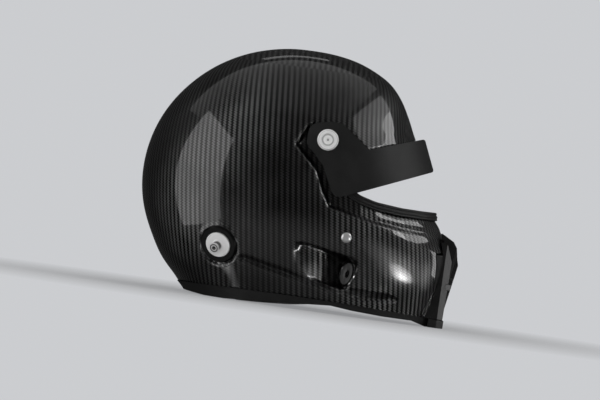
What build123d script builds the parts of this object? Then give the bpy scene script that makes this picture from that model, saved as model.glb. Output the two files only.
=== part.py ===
from build123d import *

import os
from functools import lru_cache
from math import atan2, cos, degrees, pi, sin, sqrt

# A full-face motor-racing helmet: a carbon shell with a wide eye opening, a sun peak that tilts
# on two screws, posts for a head-restraint tether, socket scoops and a vented chin.
# It stands on a table as it is put down: +X is forward, +Y is the wearer's left, +Z is up,
# and the origin is on the table under the middle of the helmet's length and width.
# Lengths are in millimetres. The points of an outline seen from the side are shares of the half
# length and of the height. Pieces that come in pairs are made on the left and mirrored.

# Overall size of the shell
overall_length = 332.0
overall_height = 261.0
overall_width = 246.0
half_length = overall_length / 2
half_width = overall_width / 2
overrun = 40.0  # how far a cutting tool runs past what it cuts

# Layers of the shell and what is inside it
shell_wall = 3.0
fit_gap = 0.3  # space left between nested pieces
running_gap = 0.2  # space left beside a sliding or turning face
foam_side_wall = 30.0
foam_top_wall = 36.0
pad_thickness = 8.0

# Levels of the shell: share of the height, then how far it reaches back, forward and sideways,
# as shares of the half length, half length and half width
shell_level_shares = [
    (-0.030, 0.620, 0.885, 0.775),
    (0.040, 0.690, 0.905, 0.830),
    (0.115, 0.800, 0.930, 0.886),
    (0.200, 0.886, 0.948, 0.939),
    (0.285, 0.950, 0.940, 0.974),
    (0.360, 0.985, 0.900, 0.992),
    (0.455, 1.000, 0.832, 1.000),
    (0.555, 0.985, 0.775, 0.990),
    (0.660, 0.934, 0.700, 0.938),
    (0.735, 0.871, 0.636, 0.879),
    (0.805, 0.787, 0.583, 0.800),
    (0.866, 0.688, 0.515, 0.700),
    (0.920, 0.566, 0.418, 0.573),
    (0.958, 0.442, 0.307, 0.439),
    (0.985, 0.302, 0.180, 0.284),
    (0.9985, 0.160, 0.030, 0.103),
]
waist_share = 0.455  # the level where the helmet is longest and widest
widest_share = -0.12  # where along the half length the lower levels are widest
crown_share = -0.063  # where along the half length the crown is highest
chin_squareness = 2.35  # exponent of a level's front half at the chin, 2 is an ellipse
dome_squareness = 2.1
section_points = 20

# Recess round the eye opening, in which the peak lies
recess_shares = [
    (-0.086, 0.628), (0.065, 0.539), (0.109, 0.484), (0.169, 0.410), (0.439, 0.372), (0.646, 0.359),
    (1.145, 0.345), (1.145, 0.812), (0.675, 0.707), (0.367, 0.638), (0.337, 0.638), (0.163, 0.718),
    (0.120, 0.722), (0.000, 0.713), (-0.034, 0.700),
]
landing_half_width = 107.5  # the recess floor is flat at this distance on both sides
landing_depth = 5.0  # and follows the shell at this depth further forward
pivot_boss_diameter = 29.0  # round flat raised on the recess floor under each pivot

# Eye opening: the visible edge of its rubber trim
eyeport_shares = [
    (0.274, 0.495), (0.330, 0.469), (0.439, 0.451), (0.596, 0.442), (0.720, 0.441), (1.145, 0.446),
    (1.145, 0.784), (0.675, 0.678), (0.367, 0.609), (0.301, 0.609), (0.244, 0.579), (0.232, 0.536),
]
eyeport_corner_radius = 6.0
trim_wall = 1.4
eyeport_trim_edge = 1.6  # rubber over the shell's edge
eyeport_trim_lip = 6.0  # height of the trim seen from outside

# Lower edge of the shell, an arc seen from the side, and the rubber trim on it
lower_edge_end_share = 0.017
lower_edge_middle_share = 0.048
neck_trim_edge = 2.4
neck_trim_shares = [
    (-1.400, 0.010), (-0.675, 0.010), (-0.514, 0.000), (-0.390, 0.000), (-0.015, 0.018), (0.255, 0.031),
    (0.381, 0.023), (0.569, 0.017), (0.755, 0.016), (0.843, 0.000), (1.400, 0.000),
]

# Peak and its pivots
pivot_x_share = 0.0964
pivot_z_share = 0.660
peak_shares = [
    (-0.029, 0.678), (-0.028, 0.634), (0.086, 0.563), (0.163, 0.462), (0.205, 0.448), (0.277, 0.464),
    (0.771, 0.600), (0.688, 0.721), (0.354, 0.645), (0.169, 0.730), (0.108, 0.732), (0.015, 0.720),
    (-0.020, 0.703),
]
peak_wall = 2.2
peak_half_width = 113.0
peak_flat_share = 0.170  # how far forward the arms stay flat
peak_nose_share = 0.7295  # how far forward the peak reaches at the height of the pivots
peak_lean = -0.438  # forward travel of the peak's front for each step up
peak_squareness = 1.9
peak_corner_radius = 3.0
pivot_base_thickness = 1.6
pivot_base_diameter = 27.0
pivot_washer_diameter = 24.0
pivot_sleeve_diameter = 11.0
pivot_thread_diameter = 6.0
pivot_head_diameter = 21.4
pivot_head_height = 3.4
pivot_nut_diameter = 18.0
pivot_nut_thickness = 1.8
pivot_nut_barrel_diameter = 9.0

# Head-restraint anchors
anchor_x_share = -0.4705
anchor_z_share = 0.2019
anchor_direction = (-0.34, 0.86, -0.39)  # which way the left anchor's post points
anchor_seat_diameter = 42.0
anchor_seat_sink = 2.2
anchor_washer_diameter = 39.0
anchor_washer_thickness = 2.4
anchor_flange_diameter = 26.0
anchor_flange_thickness = 2.2
anchor_neck_diameter = 7.5
anchor_head_diameter = 9.4
anchor_head_height = 3.2
anchor_post_height = 11.0
anchor_key_diameter = 4.0
anchor_thread_diameter = 6.0
anchor_bore_diameter = 9.0
anchor_nut_diameter = 22.0
anchor_nut_thickness = 2.0

# Socket scoop in each cheek
scoop_x_share = 0.3283  # middle of the socket
scoop_z_share = 0.1605
scoop_inset_share = 0.746  # distance of the socket from the middle, share of the half width
scoop_radius = 16.5
scoop_direction = (-0.866, 0.475, 0.155)  # from the socket out along the left scoop
scoop_length = 110.0
bezel_outer_radius = 15.6
bezel_inner_radius = 11.4
bezel_thickness = 1.8
socket_radius = 9.6
socket_flange_radius = 11.0
socket_bore_diameter = 8.0
socket_rise = 1.2
socket_depth = 9.0

# Chin vent
nose_shares = [
    (0.813, 0.385), (0.895, 0.359), (0.949, 0.340), (0.972, 0.318), (0.988, 0.272), (1.000, 0.250),
    (0.941, 0.034), (0.600, 0.034),
]
pillar_shares = [(0.813, 0.350), (0.914, 0.325), (0.954, 0.261), (0.946, 0.034), (0.600, 0.034)]
nose_half_width = 47.0
pillar_edge_half_width = 37.0
pillar_flank_share = 0.911
pillar_front_share = 0.954
nose_front_share = 1.0
nose_height_share = 0.250  # height where the nose reaches furthest
nose_lean = 0.165
vent_front_wall = 3.4
vent_grille_wall = 1.8
vent_window_half_width = 33.0
vent_window_shares = [(0.038, 0.138), (0.188, 0.314)]  # bottom and top of the two windows
vent_opening_half_width = 36.0
vent_opening_bottom_share = 0.100
vent_opening_top_share = 0.298
vent_back_share = 0.877
vent_back_wall = 2.4
vent_bar_width = 1.6
vent_bar_pitch = 5.0
shutter_wall = 1.6
shutter_travel = 7.0
shutter_slot_width = 6.0
shutter_slot_count = 4
shutter_rim = 4.0  # of the shutter above and below its slots
vent_slot_margin = 8.0  # from the slots in the frame's back to its edge
shutter_tab_z_share = 0.162
shutter_tab_height = 5.4
shutter_tab_width = 12.0
shutter_tab_reach_share = 0.966
shutter_tab_outer_half_width = 39.5

# Foam and padding inside
head_x_share = -0.1265  # middle of the head space
head_z_share = 0.479
head_length_radius = 102.0
liner_hem_share = 0.082  # lowest level of the crown foam behind the ears
liner_ear_share = 0.368  # and above the cheek pads
cheek_back_share = -0.31
cheek_shares = [
    (-0.308, 0.0835), (0.115, 0.0835), (0.115, 0.285), (0.370, 0.330), (0.370, 0.3665), (-0.308, 0.3665),
]
cheek_half_gap = 61.0  # half the width between the cheek pads
cheek_face_radius = 105.0
chin_foam_share = 0.44
chin_foam_wall = 15.0
chin_foam_bottom_share = 0.055
chin_foam_top_share = 0.40
headband_shares = [
    (-0.90, 0.500), (0.20, 0.610), (0.55, 0.655), (0.55, 0.760), (0.20, 0.715), (-0.90, 0.600),
]
crown_pad_shares = [(-0.90, 0.615), (0.20, 0.730), (0.55, 0.775), (0.55, 1.000), (-0.90, 1.000)]
roll_wall = 20.0
roll_top_share = 0.081
roll_front_share = 0.235
roll_shares = [
    (-1.400, 0.012), (-0.390, 0.010), (-0.320, 0.002), (-0.174, 0.006), (0.010, 0.0145), (0.144, 0.028),
    (0.300, 0.034),
]

# Chin strap
rivet_x_share = 0.2904
rivet_z_share = 0.2989
rivet_head_diameter = 10.7
rivet_head_height = 2.6
rivet_shank_diameter = 5.0
rivet_tail_diameter = 9.0
rivet_tail_height = 1.6
hanger_wall = 1.5
hanger_width = 30.0
hanger_drop = 10.5
hanger_standoff = 1.9
strap_width = 24.0
strap_wall = 1.8
strap_bend_radius = 5.0
pad_sleeve_wall = 2.4
pad_sleeve_overhang = 4.0
ring_wire = 3.4
ring_width = 30.0
ring_height = 24.0
ring_spread = 5.0
strap_top_shares = [(0.0560, 0.2640), (0.2927, 0.2500), (0.4228, 0.1686)]  # inwards and up
strap_short_shares = strap_top_shares + [(0.5366, 0.1264)]
strap_long_shares = strap_top_shares + [
    (0.5850, 0.1150), (0.8780, 0.0843), (0.8700, 0.0613), (0.6180, 0.0900),
]
snap_share = 0.655
snap_radius = 6.0
snap_height = 2.4

waist_height = waist_share * overall_height
pivot_x = pivot_x_share * half_length
pivot_z = pivot_z_share * overall_height


def at(x_share, z_share):
    """A point seen from the side, from its shares of the half length and the height."""
    return (x_share * half_length, z_share * overall_height)


def level_ring(level, depth):
    """One level of the shell as a face: a rounded oval, moved inwards by depth."""
    height_share, back_share, front_share, width_share = level
    height = height_share * overall_height
    rise = max(0.0, (height - waist_height) / (overall_height - waist_height))
    if rise > 0:  # above the waist the dome shrinks towards its own centre
        shrink = 1 - depth / half_width
        back = back_share * (half_length - depth)
        front = front_share * half_length * shrink
        width = width_share * (half_width - depth)
        height = waist_height + rise * (overall_height - depth - waist_height)
    else:
        back = back_share * half_length - depth
        front = front_share * half_length - depth
        width = width_share * half_width - depth
    middle = half_length * (widest_share + (crown_share - widest_share) * rise**2)
    front_power = chin_squareness + (dome_squareness - chin_squareness) * min(1.0, 2 * rise)
    points = []
    for k in range(section_points):
        turn = 2 * pi * k / section_points
        ahead = cos(turn) > 0
        power = front_power if ahead else dome_squareness
        reach = front - middle if ahead else back + middle
        along = abs(cos(turn)) ** (2 / power) * (1 if ahead else -1)
        across = abs(sin(turn)) ** (2 / power) * (1 if sin(turn) > 0 else -1)
        points.append((middle + reach * along, width * across, height))
    return Face(Wire(Spline(*points, periodic=True)))


@lru_cache
def envelope(depth):
    """The smooth helmet body without recess, scoops or openings, moved inwards by depth."""
    return loft([level_ring(level, depth) for level in shell_level_shares])


def side_prism(shares, grow=0.0, radius=0.0):
    """A prism across the helmet with an outline seen from the side, its corners rounded, grown."""
    face = make_face(Polyline(*[at(*share) for share in shares], close=True))
    if radius:
        face = fillet(face.vertices(), radius)
    if grow:
        face = offset(face, amount=grow, kind=Kind.INTERSECTION)
    return extrude(Plane.XZ * face, amount=half_width + overrun, both=True)


def eyeport_prism(grow):
    return side_prism(eyeport_shares, grow, eyeport_corner_radius)


def below(shares, lift=0.0):
    """Everything under a line seen from the side."""
    line = [(x, z + lift) for x, z in (at(*share) for share in shares)]
    floor = -overrun
    outline = line + [(line[-1][0], floor), (line[0][0], floor)]
    face = make_face(Polyline(*outline, close=True))
    return extrude(Plane.XZ * face, amount=half_width + overrun, both=True)


def below_edge(lift=0.0):
    """Everything under the lower edge of the carbon, which is an arc seen from the side."""
    reach = half_length + overrun
    end = lower_edge_end_share * overall_height + lift
    middle = lower_edge_middle_share * overall_height + lift
    arc = ThreePointArc((-reach, end), (0, middle), (reach, end))
    sides = Polyline((reach, end), (reach, -overrun), (-reach, -overrun), (-reach, end))
    return extrude(Plane.XZ * make_face([arc, sides]), amount=half_width + overrun, both=True)


def block(x_low, x_high, y_low, y_high, z_low, z_high):
    """A box from its lowest to its highest corner."""
    size = (x_high - x_low, y_high - y_low, z_high - z_low)
    return Pos(x_low, y_low, z_low) * Box(*size, align=(Align.MIN, Align.MIN, Align.MIN))


def rod(plane, radius, start, end):
    """A round rod along a plane's normal, from one height above the plane to another."""
    return plane.offset(start) * Cylinder(radius, end - start, align=(Align.CENTER, Align.CENTER, Align.MIN))


def turned(plane, profile):
    """A solid turned round a plane's normal from a profile of (radius, height) points."""
    face = Plane.XZ * make_face(Polyline(*profile, close=True))
    return plane * revolve(face, Axis.Z)


def mirrored(shape):
    """The same piece on the right side."""
    return mirror(shape, about=Plane.XZ)


def both(shape):
    return shape + mirrored(shape)


def surface_plane(x_share, z_share, normal=None):
    """A plane on the left side of the shell, at a point seen from the side."""
    x, z = at(x_share, z_share)
    hits = envelope(0.0).find_intersection_points(Axis((x, 0, z), (0, 1, 0)))
    point, outward = max(hits, key=lambda hit: hit[0].Y)
    outward = Vector(*normal).normalized() if normal else outward
    if outward.Y < 0:
        outward = -outward
    return Plane(origin=point, x_dir=Vector(0, 0, 1).cross(outward), z_dir=outward)


# The planes that the fittings sit on, all on the left side
pivot_plane = Plane(origin=(pivot_x, landing_half_width, pivot_z), x_dir=(1, 0, 0), z_dir=(0, 1, 0))
anchor_plane = surface_plane(anchor_x_share, anchor_z_share, anchor_direction).offset(-anchor_seat_sink)
rivet_plane = surface_plane(rivet_x_share, rivet_z_share)
scoop_x, scoop_z = at(scoop_x_share, scoop_z_share)
scoop_plane = Plane(
    origin=(scoop_x, scoop_inset_share * half_width, scoop_z),
    x_dir=Vector(0, 0, 1).cross(Vector(*scoop_direction)),
    z_dir=scoop_direction,
)


@lru_cache
def landing(depth):
    """The floor of the recess: flat on the sides, following the shell further forward."""
    slab_half_width = landing_half_width - depth
    slab = block(
        -half_length - overrun, half_length + overrun, -slab_half_width, slab_half_width,
        -overrun, overall_height + overrun,
    )
    return slab & envelope(landing_depth + depth)


@lru_cache
def form(depth):
    """The helmet body with recess, scoops and anchor seats, moved inwards by depth."""
    floor = landing(depth) + both(rod(pivot_plane, pivot_boss_diameter / 2 - depth, -overrun / 2, -depth))
    body = envelope(depth) - (side_prism(recess_shares, depth) - floor)
    scoop = rod(scoop_plane, scoop_radius + depth, -depth, scoop_length)
    seat = rod(anchor_plane, anchor_seat_diameter / 2 + depth, -depth, overrun)
    return body - both(scoop) - both(seat)


def through(plane, radius):
    """A bore through the shell along a fitting's plane."""
    return rod(plane, radius, -overrun / 2, overrun / 2)


def oval_prism(length_radius, width_radius, height_low, height_high, x_middle):
    """An upright prism with an oval plan."""
    plan = Plane(origin=(x_middle, 0, height_low)) * Ellipse(length_radius, width_radius)
    return extrude(plan, amount=height_high - height_low)


# Carbon shell
shell_skin = form(0.0) - form(shell_wall)
shell_skin -= eyeport_prism(eyeport_trim_edge)
shell_skin -= below_edge(-neck_trim_edge)
vent_opening = block(
    chin_foam_share * half_length, half_length, -vent_opening_half_width, vent_opening_half_width,
    vent_opening_bottom_share * overall_height, vent_opening_top_share * overall_height,
)
outer_shell = shell_skin - vent_opening
outer_shell -= both(through(pivot_plane, pivot_nut_barrel_diameter / 2))
outer_shell -= both(through(anchor_plane, anchor_bore_diameter / 2))
outer_shell -= both(through(rivet_plane, rivet_shank_diameter / 2))
outer_shell -= both(through(scoop_plane, socket_radius))

# Rubber trims: each wraps its edge of the shell, inside and out
eyeport_trim = landing(-trim_wall) & (eyeport_prism(eyeport_trim_lip) - eyeport_prism(0.0))
eyeport_trim -= landing(shell_wall + trim_wall)
eyeport_trim -= (landing(0.0) - landing(shell_wall)) - eyeport_prism(eyeport_trim_edge)

# Chin vent frame: two pillars and a bulged front between them that leans back downwards
nose_reach = nose_front_share * half_length
pillar_reach = pillar_front_share * half_length
nose_sagitta = nose_reach - pillar_reach
nose_radius = (pillar_edge_half_width**2 + nose_sagitta**2) / (2 * nose_sagitta)
nose_z = nose_height_share * overall_height
frame_back = nose_shares[-1][0] * half_length


def nose_drum(inset, width):
    """The bulged front as a leaning round column, cut to a width, moved back by an inset."""
    low, high = -overrun, overall_height / 2
    start = Plane(origin=(nose_reach - nose_radius + nose_lean * (low - nose_z), 0, low))
    drum = Solid.extrude(start * Circle(nose_radius - inset).face(), Vector(nose_lean * (high - low), 0, high - low))
    return drum & block(0, half_length + overrun, -width, width, low, high)


pillar_plan = Polyline(
    (frame_back, nose_half_width), (pillar_flank_share * half_length, nose_half_width),
    (pillar_reach, pillar_edge_half_width), (pillar_reach, -pillar_edge_half_width),
    (pillar_flank_share * half_length, -nose_half_width), (frame_back, -nose_half_width), close=True,
)
pillars = extrude(make_face(pillar_plan), amount=overall_height / 2)
bulge = nose_drum(0.0, pillar_edge_half_width) & side_prism(nose_shares)
nose = (pillars & side_prism(pillar_shares)) + bulge
window_heights = [(low * overall_height, high * overall_height) for low, high in vent_window_shares]
vent_back = vent_back_share * half_length
vent_shutter_back = vent_back + vent_back_wall
opening_low = vent_opening_bottom_share * overall_height
opening_high = vent_opening_top_share * overall_height
plug_half_width = vent_opening_half_width - fit_gap
plug = block(
    vent_back, half_length, -plug_half_width, plug_half_width, opening_low + fit_gap, opening_high - fit_gap
)
plug &= nose_drum(vent_front_wall / 2, plug_half_width)
cavity_half_width = vent_window_half_width + running_gap + shutter_wall / 2
vent_cavity = nose_drum(vent_front_wall, cavity_half_width) & block(
    vent_shutter_back, half_length, -half_width, half_width, window_heights[0][0], window_heights[1][1]
)
vent_frame = (nose - envelope(-fit_gap) - below_edge(fit_gap)) + plug - vent_cavity
for low, high in window_heights:
    vent_frame -= block(
        vent_shutter_back, half_length + overrun, -vent_window_half_width, vent_window_half_width, low, high
    )
slot_height = opening_high - opening_low - 2 * vent_slot_margin
slot_middle = (opening_high + opening_low) / 2
slot_pitch = 2 * shutter_travel
slot_places = [(k - (shutter_slot_count - 1) / 2) * slot_pitch for k in range(shutter_slot_count)]
for place in slot_places:
    vent_frame -= block(
        vent_back - overrun, vent_shutter_back + running_gap, place - shutter_slot_width / 2,
        place + shutter_slot_width / 2, slot_middle - slot_height / 2, slot_middle + slot_height / 2,
    )

# Shutter behind the front wall, with a tab that comes out between the two windows
tab_z = shutter_tab_z_share * overall_height
tab_outer = -shutter_tab_outer_half_width
tab_inner = tab_outer + shutter_tab_width
tab_reach = shutter_tab_reach_share * half_length
tab_back = tab_reach - shutter_tab_height
shutter_half_height = slot_height / 2 + shutter_rim
shutter_edge = slot_places[-1] + shutter_slot_width / 2 + shutter_wall
arm_outer = -cavity_half_width + vent_back_wall
vent_shutter = block(
    vent_shutter_back + running_gap, vent_shutter_back + running_gap + shutter_wall, arm_outer, shutter_edge,
    slot_middle - shutter_half_height, slot_middle + shutter_half_height,
)
for place in slot_places:
    vent_shutter -= block(
        vent_back, half_length, place - shutter_slot_width / 2, place + shutter_slot_width / 2,
        slot_middle - slot_height / 2, slot_middle + slot_height / 2,
    )
tab_half = shutter_tab_height / 2
vent_shutter += block(tab_back, tab_reach, tab_outer, tab_inner, tab_z - tab_half, tab_z + tab_half)
vent_shutter += block(
    vent_shutter_back + running_gap, tab_back + shutter_wall, arm_outer, arm_outer + 2 * shutter_wall,
    tab_z - tab_half + running_gap, tab_z + tab_half - running_gap,
)
vent_frame -= block(
    vent_shutter_back, half_length, arm_outer - running_gap, tab_inner + shutter_travel,
    tab_z - tab_half, tab_z + tab_half,
)
vent_frame -= block(
    tab_back - running_gap, half_length + overrun, tab_outer - running_gap - nose_half_width,
    tab_inner + shutter_travel + running_gap, tab_z - tab_half - running_gap, tab_z + tab_half + running_gap,
)

# Louvred grilles in the two windows
vent_grille = None
for low, high in window_heights:
    panel = nose_drum(0.0, vent_window_half_width - fit_gap) & block(
        0, half_length + overrun, -half_width, half_width, low + fit_gap, high - fit_gap
    )
    panel &= side_prism(nose_shares)
    panel -= nose_drum(vent_grille_wall, half_width)
    gap_width = vent_bar_pitch - vent_bar_width
    count = int((2 * vent_window_half_width - vent_bar_pitch) / vent_bar_pitch)
    for k in range(count):
        y = (k - (count - 1) / 2) * vent_bar_pitch
        panel -= block(
            0, half_length + overrun, y - gap_width / 2, y + gap_width / 2,
            low + 2 * vent_bar_width, high - 2 * vent_bar_width,
        )
    vent_grille = panel if vent_grille is None else vent_grille + panel

# Neck trim, with a foot under the chin vent
foot = extrude(make_face(pillar_plan), amount=overall_height / 4)
foot -= block(0, vent_back - shell_wall, -half_width, half_width, 0, overall_height)
neck_trim = (envelope(-trim_wall) + foot) & below_edge()
neck_trim = neck_trim - below(neck_trim_shares) - envelope(shell_wall + trim_wall)
neck_trim -= (envelope(0.0) - envelope(shell_wall)) - below_edge(-neck_trim_edge)

# Foam liners
head_x, head_z = at(head_x_share, head_z_share)
head_width_radius = half_width - shell_wall - foam_side_wall
head_top = overall_height - shell_wall - foam_top_wall


def head_space(inset):
    """The space for the head: a dome over an oval column, moved inwards by an inset."""
    radii = (head_length_radius - inset, head_width_radius - inset, head_top - head_z - inset)
    dome = Pos(head_x, 0, head_z) * scale(Sphere(1), by=radii)
    return dome + oval_prism(radii[0], radii[1], -overrun, head_z, head_x)


inner_form = form(shell_wall + fit_gap)
eye_clear = eyeport_prism(eyeport_trim_lip + fit_gap)
cheek_back = cheek_back_share * half_length
liner_ear = liner_ear_share * overall_height
crown_liner = inner_form - head_space(0.0) - eye_clear
crown_liner -= block(
    cheek_back, half_length + overrun, -half_width, half_width, -overrun, liner_ear
)
crown_liner -= block(
    pivot_x + pivot_base_diameter, half_length + overrun, -half_width, half_width, -overrun, head_z
)
crown_liner -= block(
    -half_length, half_length, -half_width, half_width, -overrun, liner_hem_share * overall_height
)
nut_room = rod(pivot_plane, pivot_nut_diameter / 2 + fit_gap, -4 * shell_wall, 0)
anchor_room = rod(anchor_plane, anchor_nut_diameter / 2 + fit_gap, -4 * shell_wall, 0)
crown_liner -= both(nut_room + anchor_room)

chin_liner = inner_form - envelope(shell_wall + fit_gap + chin_foam_wall)
chin_liner &= block(
    chin_foam_share * half_length, half_length, -half_width, half_width,
    chin_foam_bottom_share * overall_height, chin_foam_top_share * overall_height,
)
chin_liner -= eye_clear
chin_liner -= block(
    vent_back - fit_gap, half_length, -half_width / 2, half_width / 2, 0, liner_ear
)
chin_liner -= block(
    0, half_length, -vent_window_half_width, vent_window_half_width, slot_middle - slot_height / 2,
    slot_middle + slot_height / 2,
)

# Padding
pad_skin = head_space(fit_gap) - head_space(pad_thickness)
brow_pad = pad_skin & side_prism(headband_shares)
crown_pad = pad_skin & side_prism(crown_pad_shares)

hanger_room = rivet_plane * Pos(0, -hanger_drop / 4, 0) * Box(
    hanger_width + 2 * fit_gap, 2 * hanger_drop, 6 * shell_wall
)
cheek_pad_left = inner_form & side_prism(cheek_shares)
cheek_pad_left &= block(-half_length, half_length, 0, half_width, 0, overall_height)
cheek_pad_left -= oval_prism(cheek_face_radius, cheek_half_gap, 0, overall_height, head_x)
cheek_pad_left -= hanger_room

roll_outer = envelope(shell_wall + trim_wall + fit_gap)
neck_roll = roll_outer - envelope(shell_wall + trim_wall + fit_gap + roll_wall)
neck_roll &= block(
    -half_length, roll_front_share * half_length, -half_width, half_width, -overrun,
    roll_top_share * overall_height,
)
neck_roll -= below(roll_shares)

# Peak and its pivots
def peak_drum(inset):
    """The peak's wrap seen from above: flat arms and a rounded front, leaning forward downwards."""
    low = pivot_z - half_width / 2
    high = pivot_z + half_width / 4
    flat = peak_flat_share * half_length
    nose_tip = peak_nose_share * half_length - inset * sqrt(1 + peak_lean**2)
    width = peak_half_width - inset
    steps = 16
    curve = []
    for k in range(steps + 1):
        turn = pi * (k / steps - 0.5)
        along = abs(cos(turn)) ** (2 / peak_squareness)
        across = abs(sin(turn)) ** (2 / peak_squareness) * (1 if turn > 0 else -1)
        curve.append((flat + (nose_tip - flat) * along, width * across))
    back = -half_length / 2
    outline = [Spline(*curve), Polyline(curve[-1], (back, width), (back, -width), curve[0])]
    shift = peak_lean * (low - pivot_z)
    face = Pos(shift, 0, low) * make_face(outline)
    return Solid.extrude(face.face(), Vector(peak_lean * (high - low), 0, high - low))


arm_height = peak_half_width - peak_wall - landing_half_width
head_seat = arm_height + peak_wall + running_gap
peak = (peak_drum(0.0) - peak_drum(peak_wall)) & side_prism(peak_shares, 0.0, peak_corner_radius)
peak -= both(through(pivot_plane, pivot_sleeve_diameter / 2 + running_gap / 4))

pivot_base_left = rod(pivot_plane, pivot_base_diameter / 2, 0, pivot_base_thickness)
pivot_base_left -= through(pivot_plane, pivot_thread_diameter / 2)
pivot_washer_left = rod(
    pivot_plane, pivot_washer_diameter / 2, pivot_base_thickness, arm_height - running_gap
)
pivot_washer_left -= through(pivot_plane, pivot_sleeve_diameter / 2 + running_gap / 4)
head_radius = pivot_head_diameter / 2
pivot_screw_left = turned(pivot_plane, [
    (0, head_seat), (head_radius, head_seat), (head_radius, head_seat + pivot_head_height / 2),
    (head_radius * 0.88, head_seat + pivot_head_height), (head_radius * 0.62, head_seat + pivot_head_height),
    (head_radius * 0.55, head_seat + pivot_head_height * 0.7),
    (head_radius * 0.22, head_seat + pivot_head_height * 0.7),
    (head_radius * 0.18, head_seat + pivot_head_height * 0.3), (0, head_seat + pivot_head_height * 0.3),
])
pivot_screw_left += rod(pivot_plane, pivot_sleeve_diameter / 2, pivot_base_thickness, head_seat)
pivot_screw_left += rod(pivot_plane, pivot_thread_diameter / 2, -3 * shell_wall, pivot_base_thickness)
pivot_nut_left = rod(pivot_plane, pivot_nut_diameter / 2, -shell_wall - pivot_nut_thickness, -shell_wall)
pivot_nut_left += rod(pivot_plane, pivot_nut_barrel_diameter / 2, -shell_wall, 0)
pivot_nut_left -= through(pivot_plane, pivot_thread_diameter / 2)

# Head-restraint anchors
washer_radius = anchor_washer_diameter / 2
flange_radius = anchor_flange_diameter / 2
washer_floor = anchor_washer_thickness * 0.6
anchor_washer_left = turned(anchor_plane, [
    (anchor_thread_diameter / 2, 0), (washer_radius, 0), (washer_radius, washer_floor / 2),
    (washer_radius * 0.92, anchor_washer_thickness), (flange_radius + 2 * fit_gap, anchor_washer_thickness),
    (flange_radius + fit_gap, washer_floor), (anchor_thread_diameter / 2, washer_floor),
])
neck_radius = anchor_neck_diameter / 2
post_head_radius = anchor_head_diameter / 2
flange_top = washer_floor + anchor_flange_thickness
post_top = washer_floor + anchor_post_height
anchor_post_left = turned(anchor_plane, [
    (0, washer_floor), (flange_radius, washer_floor), (flange_radius, flange_top - anchor_flange_thickness / 3),
    (flange_radius * 0.94, flange_top), (neck_radius * 1.5, flange_top),
    (neck_radius, flange_top + anchor_flange_thickness / 2), (neck_radius, post_top - anchor_head_height),
    (post_head_radius, post_top - anchor_head_height * 0.8), (post_head_radius, post_top - anchor_head_height * 0.2),
    (post_head_radius * 0.9, post_top), (0, post_top),
])
anchor_post_left -= anchor_plane.offset(post_top) * extrude(
    RegularPolygon(anchor_key_diameter / 2, 6), amount=-anchor_head_height
)
anchor_post_left += rod(anchor_plane, anchor_thread_diameter / 2, -3 * shell_wall, washer_floor)
anchor_nut_left = rod(anchor_plane, anchor_nut_diameter / 2, -shell_wall - anchor_nut_thickness, -shell_wall)
anchor_nut_left += rod(anchor_plane, anchor_bore_diameter / 2, -shell_wall, 0)
anchor_nut_left -= through(anchor_plane, anchor_thread_diameter / 2)

# Sockets in the scoops
port_bezel_left = turned(scoop_plane, [
    (bezel_inner_radius, 0), (bezel_outer_radius, 0), (bezel_outer_radius, bezel_thickness / 2),
    (bezel_outer_radius - bezel_thickness / 2, bezel_thickness),
    (bezel_inner_radius + bezel_thickness / 2, bezel_thickness), (bezel_inner_radius, bezel_thickness / 2),
])
socket_bore = socket_bore_diameter / 2
port_socket_left = turned(scoop_plane, [
    (0, -socket_depth), (socket_radius, -socket_depth), (socket_radius, 0), (socket_flange_radius, 0),
    (socket_flange_radius, socket_rise), (socket_bore * 1.6, socket_rise), (socket_bore, 0),
    (socket_bore, socket_rise - socket_depth), (0, socket_rise - socket_depth),
])

# Chin strap: a riveted hanger on each side, webbing through it, and two rings on the right
hanger_back = -shell_wall - hanger_standoff - hanger_wall
rivet_radius = rivet_head_diameter / 2
strap_rivet_left = turned(rivet_plane, [
    (0, 0), (rivet_radius, 0), (rivet_radius * 0.97, rivet_head_height * 0.3),
    (rivet_radius * 0.75, rivet_head_height * 0.75), (rivet_radius * 0.4, rivet_head_height * 0.96),
    (0, rivet_head_height),
])
strap_rivet_left += rod(rivet_plane, rivet_shank_diameter / 2, hanger_back, 0)
strap_rivet_left += rod(rivet_plane, rivet_tail_diameter / 2, hanger_back - rivet_tail_height, hanger_back)
hanger_left = rivet_plane.offset(hanger_back) * Pos(0, -hanger_drop / 3, 0) * Box(
    hanger_width, 2 * hanger_drop * 0.86, hanger_wall, align=(Align.CENTER, Align.CENTER, Align.MIN)
)
hanger_left -= through(rivet_plane, rivet_shank_diameter / 2)

strap_normal = Vector(rivet_plane.z_dir.X, rivet_plane.z_dir.Y, 0).normalized()
strap_frame_left = Plane(
    origin=Vector(rivet_plane.origin.X, rivet_plane.origin.Y, 0), x_dir=-strap_normal,
    z_dir=(-strap_normal).cross(Vector(0, 0, 1)),
)


def strap_point(share):
    """A point of a strap's route, from its shares of the half width inwards and of the height."""
    return (share[0] * half_width, share[1] * overall_height)


def strap_strip(route_shares, radii, wall, width):
    """Webbing along a route, or a slot for it: a strip bent about lines across its width."""
    line = FilletPolyline(*[strap_point(share) for share in route_shares], radius=radii)
    return strap_frame_left * extrude(trace(line, line_width=wall), amount=width / 2, both=True)


bend = strap_bend_radius
fold = strap_bend_radius / 2
short_radii = [bend, bend]
long_radii = [bend, bend, bend, fold, fold]
slot_tool = strap_strip(strap_short_shares, short_radii, strap_wall + 2 * fit_gap, strap_width + 2 * fit_gap)
hanger_left -= slot_tool

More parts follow.
